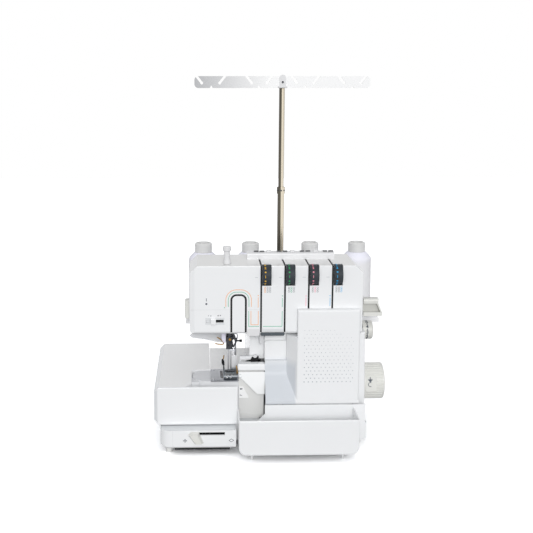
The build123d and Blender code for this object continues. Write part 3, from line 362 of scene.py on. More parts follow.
FINISHES = {
    "shell_white": moulded("shell_white", "#EFF0F1", (0.14, 0.22)),
    "grey_plastic": moulded("grey_plastic", "#DFE0E3", (0.4, 0.5)),
    "control_grey": moulded("control_grey", "#E0E0DB", (0.3, 0.42)),
    "rail_white": moulded("rail_white", "#E1E1E2", (0.2, 0.3)),
    # Painted shade: the clear guide bar darkens towards its left end
    "bar_clear": painted_shade_ramp("bar_clear", "X", (-134, 0), ["#B6B7B9", "#F8F8F8"], (0.2, 0.3)),
    "dial_charcoal": moulded("dial_charcoal", "#31363B", (0.5, 0.62), spread=0.06, grain=0.2, specular=0.25),
    # Painted reflections: streaks round the pole
    "pole_nickel": painted_reflection_tube("pole_nickel"),
    "steel": machined("steel", "#BDBEC2", stretch=(30, 1, 1)),
    "dark_steel": machined("dark_steel", "#3F4043", (0.3, 0.45)),
    "cone_plastic": moulded("cone_plastic", "#D8D8D7"),
    "thread": wound_thread("thread"),
    "cast_frame": machined("cast_frame", "#A8A9AB", (0.5, 0.65), stretch=(1, 1, 1), grain=0.6),
    "bronze": machined("bronze", "#B08D57", (0.35, 0.5)),
    "motor_black": moulded("motor_black", "#202124", (0.4, 0.55), spread=0.1, specular=0.3),
    "pulley_black": moulded("pulley_black", "#26272A", (0.45, 0.6), spread=0.1),
    "rubber": moulded("rubber", "#1C1C1E", (0.65, 0.8), spread=0.12, grain=0.4, specular=0.2),
    "foot_rubber": moulded("foot_rubber", "#EDEDEB", (0.5, 0.65)),
    "board_green": moulded("board_green", "#1F6B45", (0.35, 0.5), spread=0.15),
    "lamp_lens": translucent("lamp_lens", "#F4F4F4"),
}
SPECIAL = {
    # Painted light and shade by facing: darker head and arm tops, darker left facets, a lighter table top,
    # and upper edges darkened against their highlight
    "head_housing": faced_painted_light("head_plastic", "#EFF0F1", "#EBECEC", "#E6E6E5", "#E6E7E9", (0.14, 0.22)),
    "flat_bed": faced_painted_light("table_plastic", "#EFF0F1", "#D6D8DA", "#FCFCFC", "#E6E8EA", (0.18, 0.26)),
    "free_arm": faced_painted_light("arm_plastic", "#EAEBED", "#E4E5E8", "#E7E8EB", "#E6E8EA", (0.4, 0.5)),
    "bed_cover": moulded("bed_plastic", "#FDFDFD", (0.3, 0.4)),
    # Painted shade in the front cover's scoop
    "front_cover": scoop_painted_shade("cover_plastic"),
    # Painted light: a lighter copy of the shell white that lifts the knife cover's shade
    "knife_cover": moulded("guard_plastic", "#FAFBFB", (0.2, 0.3)),
    # Painted light: a lighter copy of the shell white that lifts the shade inside the trim bin
    "lower_front_panel": moulded("panel_plastic", "#F3F4F5", (0.2, 0.3)),
    # Painted light: a near-white copy of the white plastic that lifts the tray's shade behind the lever
    "spool_tray": moulded("tray_plastic", "#F9F9FA", (0.2, 0.3)),
    "presser_lever": moulded("lifter_plastic", "#ECEDEF", (0.2, 0.3)),
    # Painted shade: the lever darkens deeper in its pocket
    "threading_lever": painted_shade_ramp("lever_plastic", "Y", (-57, -51), ["#E0E0DB", "#C6C6C1"], (0.25, 0.35)),
    # Painted shade: the looper bay's wall is darker below 128 mm
    "looper_bay_panel": painted_shade_ramp("bay_plastic", "Z", (128, 134), ["#E4E4E2", "#F3F4F5"], (0.3, 0.42)),
    # Painted shadow of the table on the base's top ledge
    "base_pan": painted_shade_ramp("base_plastic", "Z", (43.6, 43.95), ["#EFF0F1", "#D6D9DB"], (0.16, 0.24)),
    "upper_knife": moulded("knife_white", "#E9EAEC", (0.3, 0.42)),
    # Painted shade: the foot's toe is darker below 120 mm
    "presser_foot": painted_shade_ramp("foot_steel", "Z", (120, 124), ["#8C9399", "#ECEDEF"], (0.25, 0.4)),
    "presser_bar": machined("bar_bright", "#F2F2F4", (0.1, 0.2)),
    "needle_bar": machined("needle_bright", "#F2F2F4", (0.1, 0.2)),
    "feed_dial": moulded("feed_grey", "#D5D5D0", (0.3, 0.42)),
    "needle_plate": machined("plate_steel", "#B4B6BB", (0.3, 0.4), stretch=(30, 1, 1)),
}

# Looks of pieces: a material and the record's slot that it belongs to, which prints and seams don't have
# Painted recess shade: a darker copy of the shell white for the slide's strips and tongue and the gate's lip
RECESS_PAINTED_SHADE = (moulded("recess_painted_shade", "#DBDDDF", (0.4, 0.5)), "shell_white")
# Black for black parts, and painted shade as dark strips and inlays in grooves, slots and screw recesses
BLACK_AND_PAINTED_SHADE = (moulded("slot_black", "#131417", (0.5, 0.65), spread=0.1, specular=0.2), "motor_black")
BRIGHT = (moulded("plaque_white", "#FCFCFC", (0.3, 0.4)), "rail_white")
SEAM_GREY = moulded("seam_grey", "#D5D6D8", (0.5, 0.6))
SEAM = (SEAM_GREY, None)
BRASS = (machined("brass", "#94733F", (0.25, 0.4)), "bronze")
CHROME = (machined("chrome", "#F4F4F5", (0.08, 0.16), grain=0.05), "steel")
SLATE = (moulded("foot_slate", "#6E757B", (0.3, 0.45), spread=0.1), "steel")
LILAC = (moulded("lilac_white", "#E9E7F5", (0.2, 0.3)), "rail_white")
GATE_GREY = (moulded("gate_grey", "#3F474D", (0.35, 0.5)), "dial_charcoal")
INK_CODES = {"orange": "#F2A765", "green": "#5DB894", "pink": "#F59DB0", "blue": "#4FB6E6",
             "grey": "#8D9194", "pale": "#C3C6CA", "print": "#AAAFB5", "dark": "#3B434E"}
INKS = {name: ink(f"ink_{name}", code) for name, code in INK_CODES.items()}
DIAL_CODES = {"yellow": "#E9B52B", "green": "#1FA25A", "pink": "#EE93A5", "blue": "#2BA6DD"}
DIAL_INKS = [ink(f"dial_ink_{name}", code) for name, code in DIAL_CODES.items()]
SHELL_WHITE = (FINISHES["shell_white"], "shell_white")
RAIL_WHITE = (FINISHES["rail_white"], "rail_white")
CONTROL_GREY = (FINISHES["control_grey"], "control_grey")
STEEL = (FINISHES["steel"], "steel")
DARK_STEEL = (FINISHES["dark_steel"], "dark_steel")
RUBBER = (FINISHES["rubber"], "rubber")
THREAD = (FINISHES["thread"], "thread")
ARM_WHITE = (SPECIAL["free_arm"], "shell_white")
GUARD_WHITE = (SPECIAL["knife_cover"], "shell_white")
BAY_WHITE = (SPECIAL["looper_bay_panel"], "shell_white")


def dress(node, material):
    """Gives a CAD node its finish, on the object and not in its mesh."""
    thing = frame["nodes"][node]
    if not thing.material_slots:
        thing.data.materials.append(None)
    for slot in thing.material_slots:
        slot.link = "OBJECT"
        slot.material = material


def dress_nodes():
    """Finishes by the record's slots, then the nodes that have one of their own, most with painted light and
    shade.
    """
    for row in frame["record"]["subparts"]:
        dress(row["node"], FINISHES[row["material_slot"]])
    for node, material in SPECIAL.items():
        dress(node, material)


# Where a flat sketch goes: each place maps a sketch's u, v and a height above it
def front(y):
    return lambda u, v, h: Vector((u, y - h, v)) * MM


def back(y):
    return lambda u, v, h: Vector((u, y + h, v)) * MM


def above(z):
    return lambda u, v, h: Vector((u, v, z + h)) * MM


def right(x):
    return lambda u, v, h: Vector((x + h, u, v)) * MM


def rim(wheel, turn=0.0):
    """Round a wheel on an axle along X: u runs along the axle, v round the rim from the front upwards."""
    y = sum(wheel[1]) / 2
    z = sum(wheel[2]) / 2
    radius = (wheel[2][1] - wheel[2][0]) / 2

    def place(u, v, h):
        angle = v / radius + turn
        reach = radius + h
        return Vector((u, y - reach * math.cos(angle), z + reach * math.sin(angle))) * MM
    return place


# Outlines of flat sketches
def arc(u, v, radius, start, end, steps=8):
    turns = [math.radians(start + (end - start) * i / steps) for i in range(steps + 1)]
    return [(u + radius * math.cos(a), v + radius * math.sin(a)) for a in turns]


def disc(u, v, radius, steps=20):
    return arc(u, v, radius, 0, 360, steps)[:-1]


def rounded(u, v, radius):
    """A rectangle between two limits on each axis, with round corners."""
    r = radius
    return (arc(u[0] + r, v[0] + r, r, 180, 270) + arc(u[1] - r, v[0] + r, r, 270, 360)
            + arc(u[1] - r, v[1] - r, r, 0, 90) + arc(u[0] + r, v[1] - r, r, 90, 180))


def bar(u, v, length, width):
    """A short upright stroke with round ends, whose arcs stay just short of meeting."""
    radius = width / 2.01
    return rounded((u - width / 2, u + width / 2), (v - length / 2, v + length / 2), radius)


def lozenge(u, v, half_width, half_height):
    return [(u - half_width, v), (u, v - half_height), (u + half_width, v), (u, v + half_height)]


def cross(u, v, reach, half):
    """A plus sign about its middle: three corners, turned four times."""
    corners = [(-reach, -half), (-half, -half), (-half, -reach)]
    loop = []
    for _ in range(4):
        loop += [(u + a, v + b) for a, b in corners]
        corners = [(-b, a) for a, b in corners]
    return loop


# Solids on sketches
def prism(mesh, loop, place, low=-SINK, high=INK_HEIGHT):
    """A closed slab on an outline."""
    floor = [mesh.verts.new(place(u, v, low)) for u, v in loop]
    roof = [mesh.verts.new(place(u, v, high)) for u, v in loop]
    mesh.faces.new(roof)
    mesh.faces.new(reversed(floor))
    for i in range(len(loop)):
        j = (i + 1) % len(loop)
        mesh.faces.new((floor[i], floor[j], roof[j], roof[i]))


def offsets(path, closed):
    """Unit offset directions across a path, mitred at its bends."""
    count = len(path)
    result = []
    for i in range(count):
        before = path[i - 1] if closed or i > 0 else path[i]
        after = path[(i + 1) % count] if closed or i < count - 1 else path[i]
        a = Vector(path[i]) - Vector(before)
        b = Vector(after) - Vector(path[i])
        heading = (a.normalized() + b.normalized()).normalized()
        edge = b if b.length > 0 else a
        across = Vector((-heading.y, heading.x))
        stretch = max(0.5, abs(across.dot(Vector((-edge.y, edge.x)).normalized())))
        result.append(across / stretch)
    return result


def ribbon(mesh, path, width, place, low=-SINK, high=INK_HEIGHT, closed=False):
    """A closed strip of even width along a path."""
    rings = []
    for point, across in zip(path, offsets(path, closed)):
        near = Vector(point) + across * width / 2
        far = Vector(point) - across * width / 2
        rings.append([mesh.verts.new(place(p.x, p.y, h)) for p, h in
                      ((near, low), (near, high), (far, high), (far, low))])
    pairs = list(zip(rings, rings[1:]))
    if closed:
        pairs.append((rings[-1], rings[0]))
    for a, b in pairs:
        for i in range(4):
            j = (i + 1) % 4
            mesh.faces.new((a[i], a[j], b[j], b[i]))
    if not closed:
        mesh.faces.new(rings[0])
        mesh.faces.new(reversed(rings[-1]))


def box(mesh, x, y, z):
    """A block between two limits on each axis."""
    prism(mesh, [(x[0], y[0]), (x[1], y[0]), (x[1], y[1]), (x[0], y[1])], above(0), z[0], z[1])


def ring_of(mesh, x, y, z, radii):
    """A level ring of corners about an upright axis, one for each radius."""
    ring = []
    for i, radius in enumerate(radii):
        a = 2 * math.pi * i / len(radii)
        ring.append(mesh.verts.new(Vector((x + radius * math.cos(a), y + radius * math.sin(a), z)) * MM))
    return ring


def join_rings(mesh, rings):
    """Walls from each ring to the next, and from the last to the first."""
    for below, over in zip(rings, rings[1:] + rings[:1]):
        for i in range(len(below)):
            k = (i + 1) % len(below)
            mesh.faces.new((below[i], below[k], over[k], over[i]))


def turned(mesh, section, x, y):
    """A closed turned form about an upright axis from a closed half section of radius and height."""
    steps = 28
    join_rings(mesh, [ring_of(mesh, x, y, z, [radius] * steps) for radius, z in section])


def new_object(name, data):
    """An object of the data, in the scene."""
    thing = bpy.data.objects.new(name, data)
    bpy.context.scene.collection.objects.link(thing)
    return thing


def piece(name, mesh, look, body="machine", bevel=0.0):
    """Makes an object of the mesh, with softened edges, that rides on a CAD body."""
    material, slot = look
    bmesh.ops.recalc_face_normals(mesh, faces=mesh.faces)
    data = bpy.data.meshes.new(name)
    mesh.to_mesh(data)
    mesh.free()
    data.materials.append(material)
    thing = new_object(name, data)
    data.shade_smooth()
    data.set_sharp_from_angle(angle=SHARP_ANGLE)
    if bevel:
        soft = thing.modifiers.new("edges", "BEVEL")
        soft.width = bevel * MM
        soft.segments = 2
    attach(thing, body)
    return thing


def flat_piece(name, loops, place, look, high=INK_HEIGHT, body="machine", bevel=0.0, low=-SINK):
    """One object from several closed outlines on the same place."""
    mesh = bmesh.new()
    for loop in loops:
        prism(mesh, loop, place, low, high)
    piece(name, mesh, look, body, bevel)


def line_piece(name, paths, place, look, width, high=INK_HEIGHT, closed=False):
    """One object from several strips on the same place."""
    mesh = bmesh.new()
    for path in paths:
        ribbon(mesh, path, width, place, -SINK, high, closed)
    piece(name, mesh, look)


def block_piece(name, blocks, look, body="machine", bevel=0.0):
    """One object from several blocks, each given by its limits on X, Y and Z."""
    mesh = bmesh.new()
    for limits in blocks:
        box(mesh, *limits)
    piece(name, mesh, look, body, bevel)


def wire(name, points, radius, look, body="machine"):
    """A round wire through the given points."""
    material, slot = look
    curve = bpy.data.curves.new(name, "CURVE")
    curve.dimensions = "3D"
    curve.bevel_depth = radius * MM
    curve.bevel_resolution = 4
    curve.use_fill_caps = True
    spline = curve.splines.new("BEZIER")
    spline.bezier_points.add(len(points) - 1)
    for knot, point in zip(spline.bezier_points, points):
        knot.co = Vector(point) * MM
        knot.handle_left_type = knot.handle_right_type = "AUTO"
    curve.materials.append(material)
    thing = new_object(name, curve)
    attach(thing, body)


def glyph(mesh, text, u, v, size, place):
    """A numeral's outline laid on a place, as a thin closed slab."""
    boldness = 0.018
    curve = bpy.data.curves.new("glyph", "FONT")
    curve.body = text
    curve.align_x = "CENTER"
    curve.align_y = "CENTER"
    curve.size = size
    curve.extrude = 0.1
    curve.offset = boldness * size
    holder = new_object("glyph", curve)
    data = holder.to_mesh()
    start = len(mesh.verts)
    mesh.from_mesh(data)
    mesh.verts.ensure_lookup_table()
    for vertex in mesh.verts[start:]:
        height = NUMERAL_RISE if vertex.co.z > 0 else -SINK
        vertex.co = place(u + vertex.co.x, v + vertex.co.y, height)
    holder.to_mesh_clear()
    bpy.data.objects.remove(holder)
    bpy.data.curves.remove(curve)


# Head
def groove_liners():
    """Painted shade in the thread channels: dark strips down the face and back along the top of the head."""
    width = SLOT_WIDTH - 0.1
    rise = 0.9
    behind_cover = COVER[2][1] - 4
    ends = [CHANNEL_END, CHANNEL_END, behind_cover, behind_cover]
    for i, (x, low) in enumerate(zip(SLOT_X, ends), 1):
        mesh = bmesh.new()
        downward = [(x, low), (x, HEAD_TOP - SLOT_DEPTH + rise)]
        ribbon(mesh, downward, width, front(FACE_Y + SLOT_DEPTH), -SINK, rise)
        backward = [(x, FACE_Y + SLOT_DEPTH - rise), (x, RAIL[1][0] + 0.5)]
        ribbon(mesh, backward, width, above(HEAD_TOP - SLOT_DEPTH), -SINK, rise)
        piece(f"thread_channel_{i}", mesh, BLACK_AND_PAINTED_SHADE)


def take_up_path(grow, low):
    """The arch of the take-up groove, widened by an amount and ending at a height."""
    left = TAKEUP_LEGS[0] - grow
    rightmost = TAKEUP_LEGS[1] + grow
    radius = TAKEUP_RADIUS + grow
    bend = TAKEUP_TOP + grow - radius
    return ([(left, low)] + arc(left + radius, bend, radius, 180, 90, 12)
            + arc(rightmost - radius, bend, radius, 90, 0, 12) + [(rightmost, low)])


def take_up_liner():
    # A dark strip of painted shade in the take-up groove
    width = 3.2
    rise = 1.1
    path = take_up_path(0, CHANNEL_END)
    line_piece("take_up_channel", [path], front(FACE_Y + SLOT_DEPTH), BLACK_AND_PAINTED_SHADE, width, high=rise)


def thread_guides():
    """Coloured lines that show each thread's way, on the face and on the raised gate panel."""
    face = front(FACE_Y)
    gate = front(FACE_Y - GATE_RISE)
    over_seam = 246.7
    under_seam = 239.5
    orange_turn = 215.5
    green_turn = 212.6
    dot_radius = 0.9
    orange = [take_up_path(9.3, over_seam),
              [(-40, under_seam), (-40, orange_turn), (-27.7, orange_turn), (-27.7, under_seam)],
              [(-28, 245.4), (-28, 263)]]
    green = [take_up_path(5.2, over_seam), [(-43.7, under_seam), (-43.7, green_turn), (-26, green_turn)]]
    pink = [[(52.5, 247.5), (52.5, 262)]]
    blue = [[(93.1, 247.2), (93.1, 262)]]
    gate_green = [[(-19.6, green_turn), (12.6, green_turn), (12.6, 239.1)], [(12.6, 246), (12.6, 262)]]
    marks = [("orange", orange, (-28, 266), face), ("green", green, (-84.5, 245.6), face),
             ("pink", pink, (52.5, 265), face), ("blue", blue, (93.1, 265), face),
             ("gate", gate_green, (12.6, 265.5), gate)]
    for name, paths, dot, place in marks:
        mesh = bmesh.new()
        for path in paths:
            ribbon(mesh, path, LINE, place)
        prism(mesh, disc(*dot, dot_radius), place)
        piece(f"guide_line_{name}", mesh, INKS["green" if name == "gate" else name])


def stitch_loops(x, limits):
    """One column of looped stitches between two heights: two strands that cross."""
    steps = 24
    sway = 1.3
    loops = 3
    low, high = limits
    paths = []
    for side in (-sway, sway):
        paths.append([(x + side * math.sin(loops * math.pi * i / steps), low + (high - low) * i / steps)
                      for i in range(steps + 1)])
    return paths


def stitch_signs():
    """Under each dial, three columns of stitches with its own thread in colour."""
    limits = (271, 280.8)
    first, pitch = 6.5, 4.2
    strand = 0.55
    own_columns = [0, 1, 1, 2]
    for i, x in enumerate(SLOT_X):
        face = front(FACE_Y - GATE_RISE if i == 0 else FACE_Y)
        places = [x + first + pitch * k for k in range(3)]
        own = places.pop(own_columns[i])
        grey = [path for place in places for path in stitch_loops(place, limits)]
        line_piece(f"stitch_sign_{i + 1}", grey, face, INKS["grey"], strand)
        line_piece(f"stitch_sign_{i + 1}_own", stitch_loops(own, limits), face,
                   INKS[THREAD_COLOURS[i]], strand)


def head_face_trim():
    """Seam across the face, left open at the take-up groove, and the lamp's sign."""
    face = front(FACE_Y)
    seam_z = 241.9
    lamp_x = -115.1
    seams = [[(-142, seam_z), (-76, seam_z)], [(-46, seam_z), (-25.5, seam_z)]]
    line_piece("face_seam", seams, face, SEAM, 0.35)
    flat_piece("lamp_sign", [disc(lamp_x, 252.1, 1.7), bar(lamp_x, 259.2, 5.5, 0.9)], face, INKS["dark"])


def threader_slide_trim():
    """Strips along the threader slide's slot, its dark floor, the slide's tongue and two signs; strips and
    tongue carry painted recess shade and the dark floor is a painted shadow.
    """
    face = front(FACE_Y)
    # The strips and the tongue carry painted recess shade
    strips = [rounded((-117.4, -84.6), heights, 1.6) for heights in ((215.9, 219.4), (224.6, 227.9))]
    flat_piece("slide_recess", strips, face, RECESS_PAINTED_SHADE, 0.15, bevel=0.1)
    # Painted shadow: the slot's dark floor
    slot_floor = ((-117, -85), (-70.6, -70.1), (218.5, 225.5))
    block_piece("slide_slot", [slot_floor], BLACK_AND_PAINTED_SHADE)
    tongue = ((-115.7, -107.6), (-77.8, -76.6), (219.8, 224.2))
    block_piece("slide_tongue", [tongue], RECESS_PAINTED_SHADE, body="threader_slide")
    left_sign = [bar(-111.5, 231.8, 2.4, 0.8), disc(-107.6, 231.4, 0.9)]
    right_sign = [bar(-95.4, 231.6, 1.0, 2.2), disc(-91.6, 232.2, 1.1)]
    flat_piece("slide_signs", left_sign + right_sign, face, INKS["grey"])


def tension_ticks():
    """A short level tick beside each tension dial."""
    ticks = [rounded((x - 10.6, x - 5.6), (296.8, 297.6), 0.3) for x in SLOT_X]
    flat_piece("tension_ticks", ticks, front(FACE_Y), INKS["pale"])


def thread_gate():
    """Raised panel between the first two channels, with its lip, dark lower bar, white tab and link."""
    gap = 0.4
    left = SLOT_X[0] + SLOT_WIDTH / 2 + gap
    rightmost = SLOT_X[1] - SLOT_WIDTH / 2 - gap
    panel = rounded((left, rightmost), (CHIN_TOP, DIALS[0][2][0] - 0.8), 1.2)
    flat_piece("gate_panel", [panel], front(FACE_Y), SHELL_WHITE, GATE_RISE, bevel=0.35)
    # The lip carries painted recess shade where the panel's lower edge turns under
    lip = rounded((left + gap, rightmost - gap), (CHIN_TOP + 0.3, 208.2), 0.6)
    flat_piece("gate_lip", [lip], front(FACE_Y - GATE_RISE), RECESS_PAINTED_SHADE, 0.1)
    proud = 0.6
    bar_depth, tab_depth = 7, 8
    lower_bar = rounded((SLOT_X[0], SLOT_X[1]), (196.0, 201.8), 2.0)
    flat_piece("gate_bar", [lower_bar], front(FACE_Y + bar_depth), GATE_GREY, bar_depth + proud, bevel=0.5)
    tab = rounded((-46.8, -25.2), (195.6, 208.6), 2.5)
    flat_piece("gate_tab", [tab], front(FACE_Y + tab_depth), RAIL_WHITE, tab_depth + proud, bevel=0.8)
    link = rounded((-24.2, -17.6), (176.4, HEAD_BOTTOM + 0.5), 1.5)
    flat_piece("gate_link", [link], front(-60.0), (SEAM_GREY, "shell_white"), 0.0, bevel=0.4, low=-3.0)


def rail_fittings():
    """Bumps along the rail and the dark spring plates over its slits."""
    top = above(RAIL[2][1])
    near, far = RAIL[1]
    bumps = [rounded((x - 5, x + 3), (near + 4, far - 1.5), 1.5) for x in (-5, 36, 76)]
    flat_piece("rail_bumps", bumps, top, RAIL_WHITE, 1.6, bevel=0.6, low=-1.5)
    springs = []
    for x in SLOT_X:
        for limits in ((x - 9.0, x - 1.0), (x + 1.0, x + 9.0)):
            springs.append(rounded(limits, (near + 5.5, far - 3), 0.8))
    flat_piece("rail_springs", springs, top, DARK_STEEL, 0.5, bevel=0.15, low=-0.6)


# Dials and wheels
def dial_marks():
    """Numerals and half marks round each tension dial."""
    marks = 14
    inset = 4.6
    numeral_size = 6.4
    half_width, half_height = 1.3, 1.1
    for i, dial in enumerate(DIALS):
        place = rim(dial)
        radius = (dial[2][1] - dial[2][0]) / 2
        pitch = 2 * math.pi * radius / marks
        column = dial[0][0] + inset
        across = (column - half_width, column + half_width)
        mesh = bmesh.new()
        for k in range(marks):
            v = k * pitch
            if k % 2:
                half_mark = rounded(across, (v - half_height, v + half_height), 0.4)
                prism(mesh, half_mark, place, high=NUMERAL_RISE)
            else:
                glyph(mesh, str(k // 2 + 1), column, v, numeral_size, place)
        piece(f"dial_marks_{i + 1}", mesh, DIAL_INKS[i], body=f"tension_dial_{i + 1}")


def feed_dial_marks():
    """Numerals round the seen side of the feed dial, with a dot after each."""
    place = rim(FEED_DIAL)
    column = FEED_DIAL[0][1] - 10.6
    count, pitch = 9, 9.5
    numeral_size = 8.6
    mesh = bmesh.new()
    for k in range(count):
        v = (k - 3) * pitch
        glyph(mesh, str(k % 5), column, v, numeral_size, place)
        prism(mesh, disc(column, v + pitch / 2, 1.0, 10), place, high=NUMERAL_RISE)
    piece("feed_dial_marks", mesh, INKS["dark"], body="feed_dial")


def handwheel_label():
    """Raised pad on the rim with a turning arrow."""
    place = rim(WHEEL, math.radians(8))
    left = WHEEL[0][0] + 3
    rightmost = WHEEL[0][0] + 23
    middle = WHEEL[0][0] + 11
    half_height = 14
    steps = 10
    rise = 0.5
    heights = [-half_height + 2 * half_height * k / steps for k in range(steps + 1)]
    pad = [(left, v) for v in reversed(heights)] + [(rightmost, v) for v in heights]
    flat_piece("wheel_label", [pad], place, CONTROL_GREY, rise, body="drive_shaft", bevel=0.3, low=-1.0)
    ink_limits = (rise - SINK, rise + 0.1)
    mesh = bmesh.new()
    ribbon(mesh, arc(middle, -1, 3.6, 60, 300, 14), LINE, place, *ink_limits)
    prism(mesh, [(middle - 4.5, 8), (middle + 4.5, 8), (middle, 2.5)], place, *ink_limits)
    prism(mesh, bar(middle, 10, 4, 1.6), place, *ink_limits)
    piece("wheel_arrow", mesh, INKS["dark"], body="drive_shaft")


# Cover, base and looper bay
def cover_print():
    """Small lozenges on a straight staggered grid that thin out towards the upper right."""
    x_limits, z_limits = (50.0, 136.0), (118.0, 208.0)
    columns, rows = 12, 15
    full, loss_up, loss_across = 1.2, 0.85, 0.4
    least_fade = 0.1
    smallest, growth = 0.55, 0.75
    loops = []
    for row in range(rows):
        for column in range(columns):
            across = (column + 0.5 * (row % 2)) / columns
            up = row / (rows - 1)
            fade = full - loss_up * up - loss_across * across
            if fade < least_fade:
                continue
            x = x_limits[0] + across * (x_limits[1] - x_limits[0])
            z = z_limits[0] + up * (z_limits[1] - z_limits[0])
            half = smallest + growth * fade
            loops.append(lozenge(x, z, half, 0.8 * half))
    flat_piece("cover_lozenges", loops, front(COVER[1][0]), INKS["print"], THIN_INK, body="front_cover")


def base_trim():
    """Seam and mode signs on the base, the dark tray of painted shadow behind its slot and the strip under
    its front edge.
    """
    face = front(BASE[1][0])
    bottom, top = BASE[2]
    seam_x = -172.5
    line_piece("base_seam", [[(seam_x, bottom + 3), (seam_x, top - 0.5)]], face, SEAM, 0.4)
    x, z = -151.9, 26
    flower = [disc(x + dx, z + dz, 0.9, 12) for dx, dz in ((-2.6, 0), (2.6, 0), (0, 2.2), (0, -2.2))]
    flower.append(disc(x, z, 1.2, 14))
    flat_piece("mode_sign_left", flower, face, INKS["dark"])
    line_piece("mode_sign_right", [lozenge(-74.1, 25.8, 4.0, 2.6)], face, INKS["dark"], 0.7, closed=True)
    # Painted shadow: a dark tray seen through the mode slot
    slot_x, slot_y, slot_z = (-145, -81), (-113.6, -106.6), (31.5, 41.6)
    wall = 0.8
    tray = [(slot_x, (slot_y[1] - wall, slot_y[1]), slot_z), (slot_x, slot_y, (slot_z[0], slot_z[0] + wall))]
    tray += [((end, end + wall), slot_y, slot_z) for end in (slot_x[0], slot_x[1] - wall)]
    block_piece("mode_slot_tray", tray, BLACK_AND_PAINTED_SHADE)
    strip = rounded((-170, -76), (-112.8, -106), 2)
    flat_piece("base_strip", [strip], above(bottom), RUBBER, 0.3, bevel=0.5, low=-3.6)


def knife_cover_signs():
    """Ring on the knife cover, and a small plaque with two signs on the wall beside it."""
    ring = arc(-57.0, 123.3, 2.8, 60, 330, 16)
    line_piece("knife_cover_ring", [ring], front(KNIFE_COVER[1][0]), INKS["pale"], 0.7)
    rise = 0.9
    plaque = [(-59.4, 81.0), (-43.0, 81.0), (-43.0, 82.5), (-52.4, 101.7), (-59.4, 101.7)]
    flat_piece("bay_plaque", [plaque], front(BAY_WALL), BRIGHT, rise, bevel=0.25)
    upper_sign = [disc(-56.0, 97.6, 1.5), rounded((-55.4, -52.9), (96.9, 98.3), 0.4)]
    lower_sign = [bar(-57.2, 86.8, 2.4, 0.7), rounded((-57.2, -53.6), (85.6, 86.3), 0.3)]
    flat_piece("bay_signs", upper_sign + lower_sign, front(BAY_WALL - rise), INKS["dark"])


def looper_bay_edges():
    """Strips that close the gaps between the looper bay and the covers round it."""
    cover_side = COVER[0][0] - 0.2
    lip = ((KNIFE_COVER[0][1] - 0.2, cover_side), (KNIFE_COVER[1][0] + 0.3, -69.2), (89.9, 129.4))
    block_piece("guard_lip", [lip], GUARD_WHITE)
    foot = ((-59.0, -24.5), (BAY_WALL - 0.6, BAY_WALL - 0.05), (44.1, 52.0))
    corner = ((-16.7, cover_side), (-69.4, -60.0), (131.7, 143.3))
    block_piece("bay_skirt", [foot, corner], BAY_WHITE)


def table_corner():
    """Pale fillet in the corner of the table's notch, round the nose of the free arm."""
    left, near, far = -141.2, -64, -20
    top, depth = 110.2, 22
    x, y, radius = -115.5, -38, 24.8
    nose = arc(x, y, radius, 180, 240)
    loop = [(left, far), (x - radius, far)] + nose + [(x - radius / 2, near), (left, near)]
    flat_piece("table_corner", [loop], above(top), ARM_WHITE, 0.0, body="flat_bed", low=-depth)


# Needle side
def rod_piece(name, rods, y, z, look, body, bevel):
    """One object from round bars along X on one axis, each given by its limits and its radius."""
    mesh = bmesh.new()
    for limits, radius in rods:
        prism(mesh, disc(y, z, radius, 18), right(0), *limits)
    piece(name, mesh, look, body, bevel)


def needle_fittings():
    """Collar, brass screw and thread plate on the needle clamp; they follow the needles."""
    body = "needle_unit"
    x = sum(CLAMP[0]) / 2 + 0.5
    y = CLAMP[1][1] - 5
    collar = [(3.0, 182), (5.4, 182), (5.8, 184), (5.8, 192), (5.0, 194), (3.0, 194)]
    mesh = bmesh.new()
    turned(mesh, collar, x, y)
    piece("needle_collar", mesh, DARK_STEEL, body)
    screw = disc(x + 0.5, 177.8, 2.3)
    flat_piece("clamp_screw", [screw], front(CLAMP[1][1] - 11), BRASS, 1.4, body, bevel=0.3)
    plate = ((x - 1.0, x + 10.0), (y - 7.0, y - 1.0), (157.2, 160.2))
    block_piece("needle_thread_plate", [plate], STEEL, body, bevel=0.4)


def threader_parts():
    """Needle threader's carrier under the head, with its brass hook."""
    left, rightmost = -88.6, -81.4
    bottom, top = 171.2, HEAD_BOTTOM + 0.4
    rear, depth = -34.0, 6.0
    middle = rear - depth / 2
    carrier = [(left, top), (left, 178), (-84.2, bottom), (rightmost, bottom), (rightmost, top)]
    flat_piece("threader_carrier", [carrier], front(rear), LILAC, depth, bevel=0.6, low=0.0)
    hook = [(-96.5, 181.5), (-90.5, 178), (-86.5, 173.5), (-85.5, 169.5), (-91, 168.8), (-99.8, 170.2)]
    wire("threader_hook", [(x, middle, z) for x, z in hook], 1.0, BRASS)


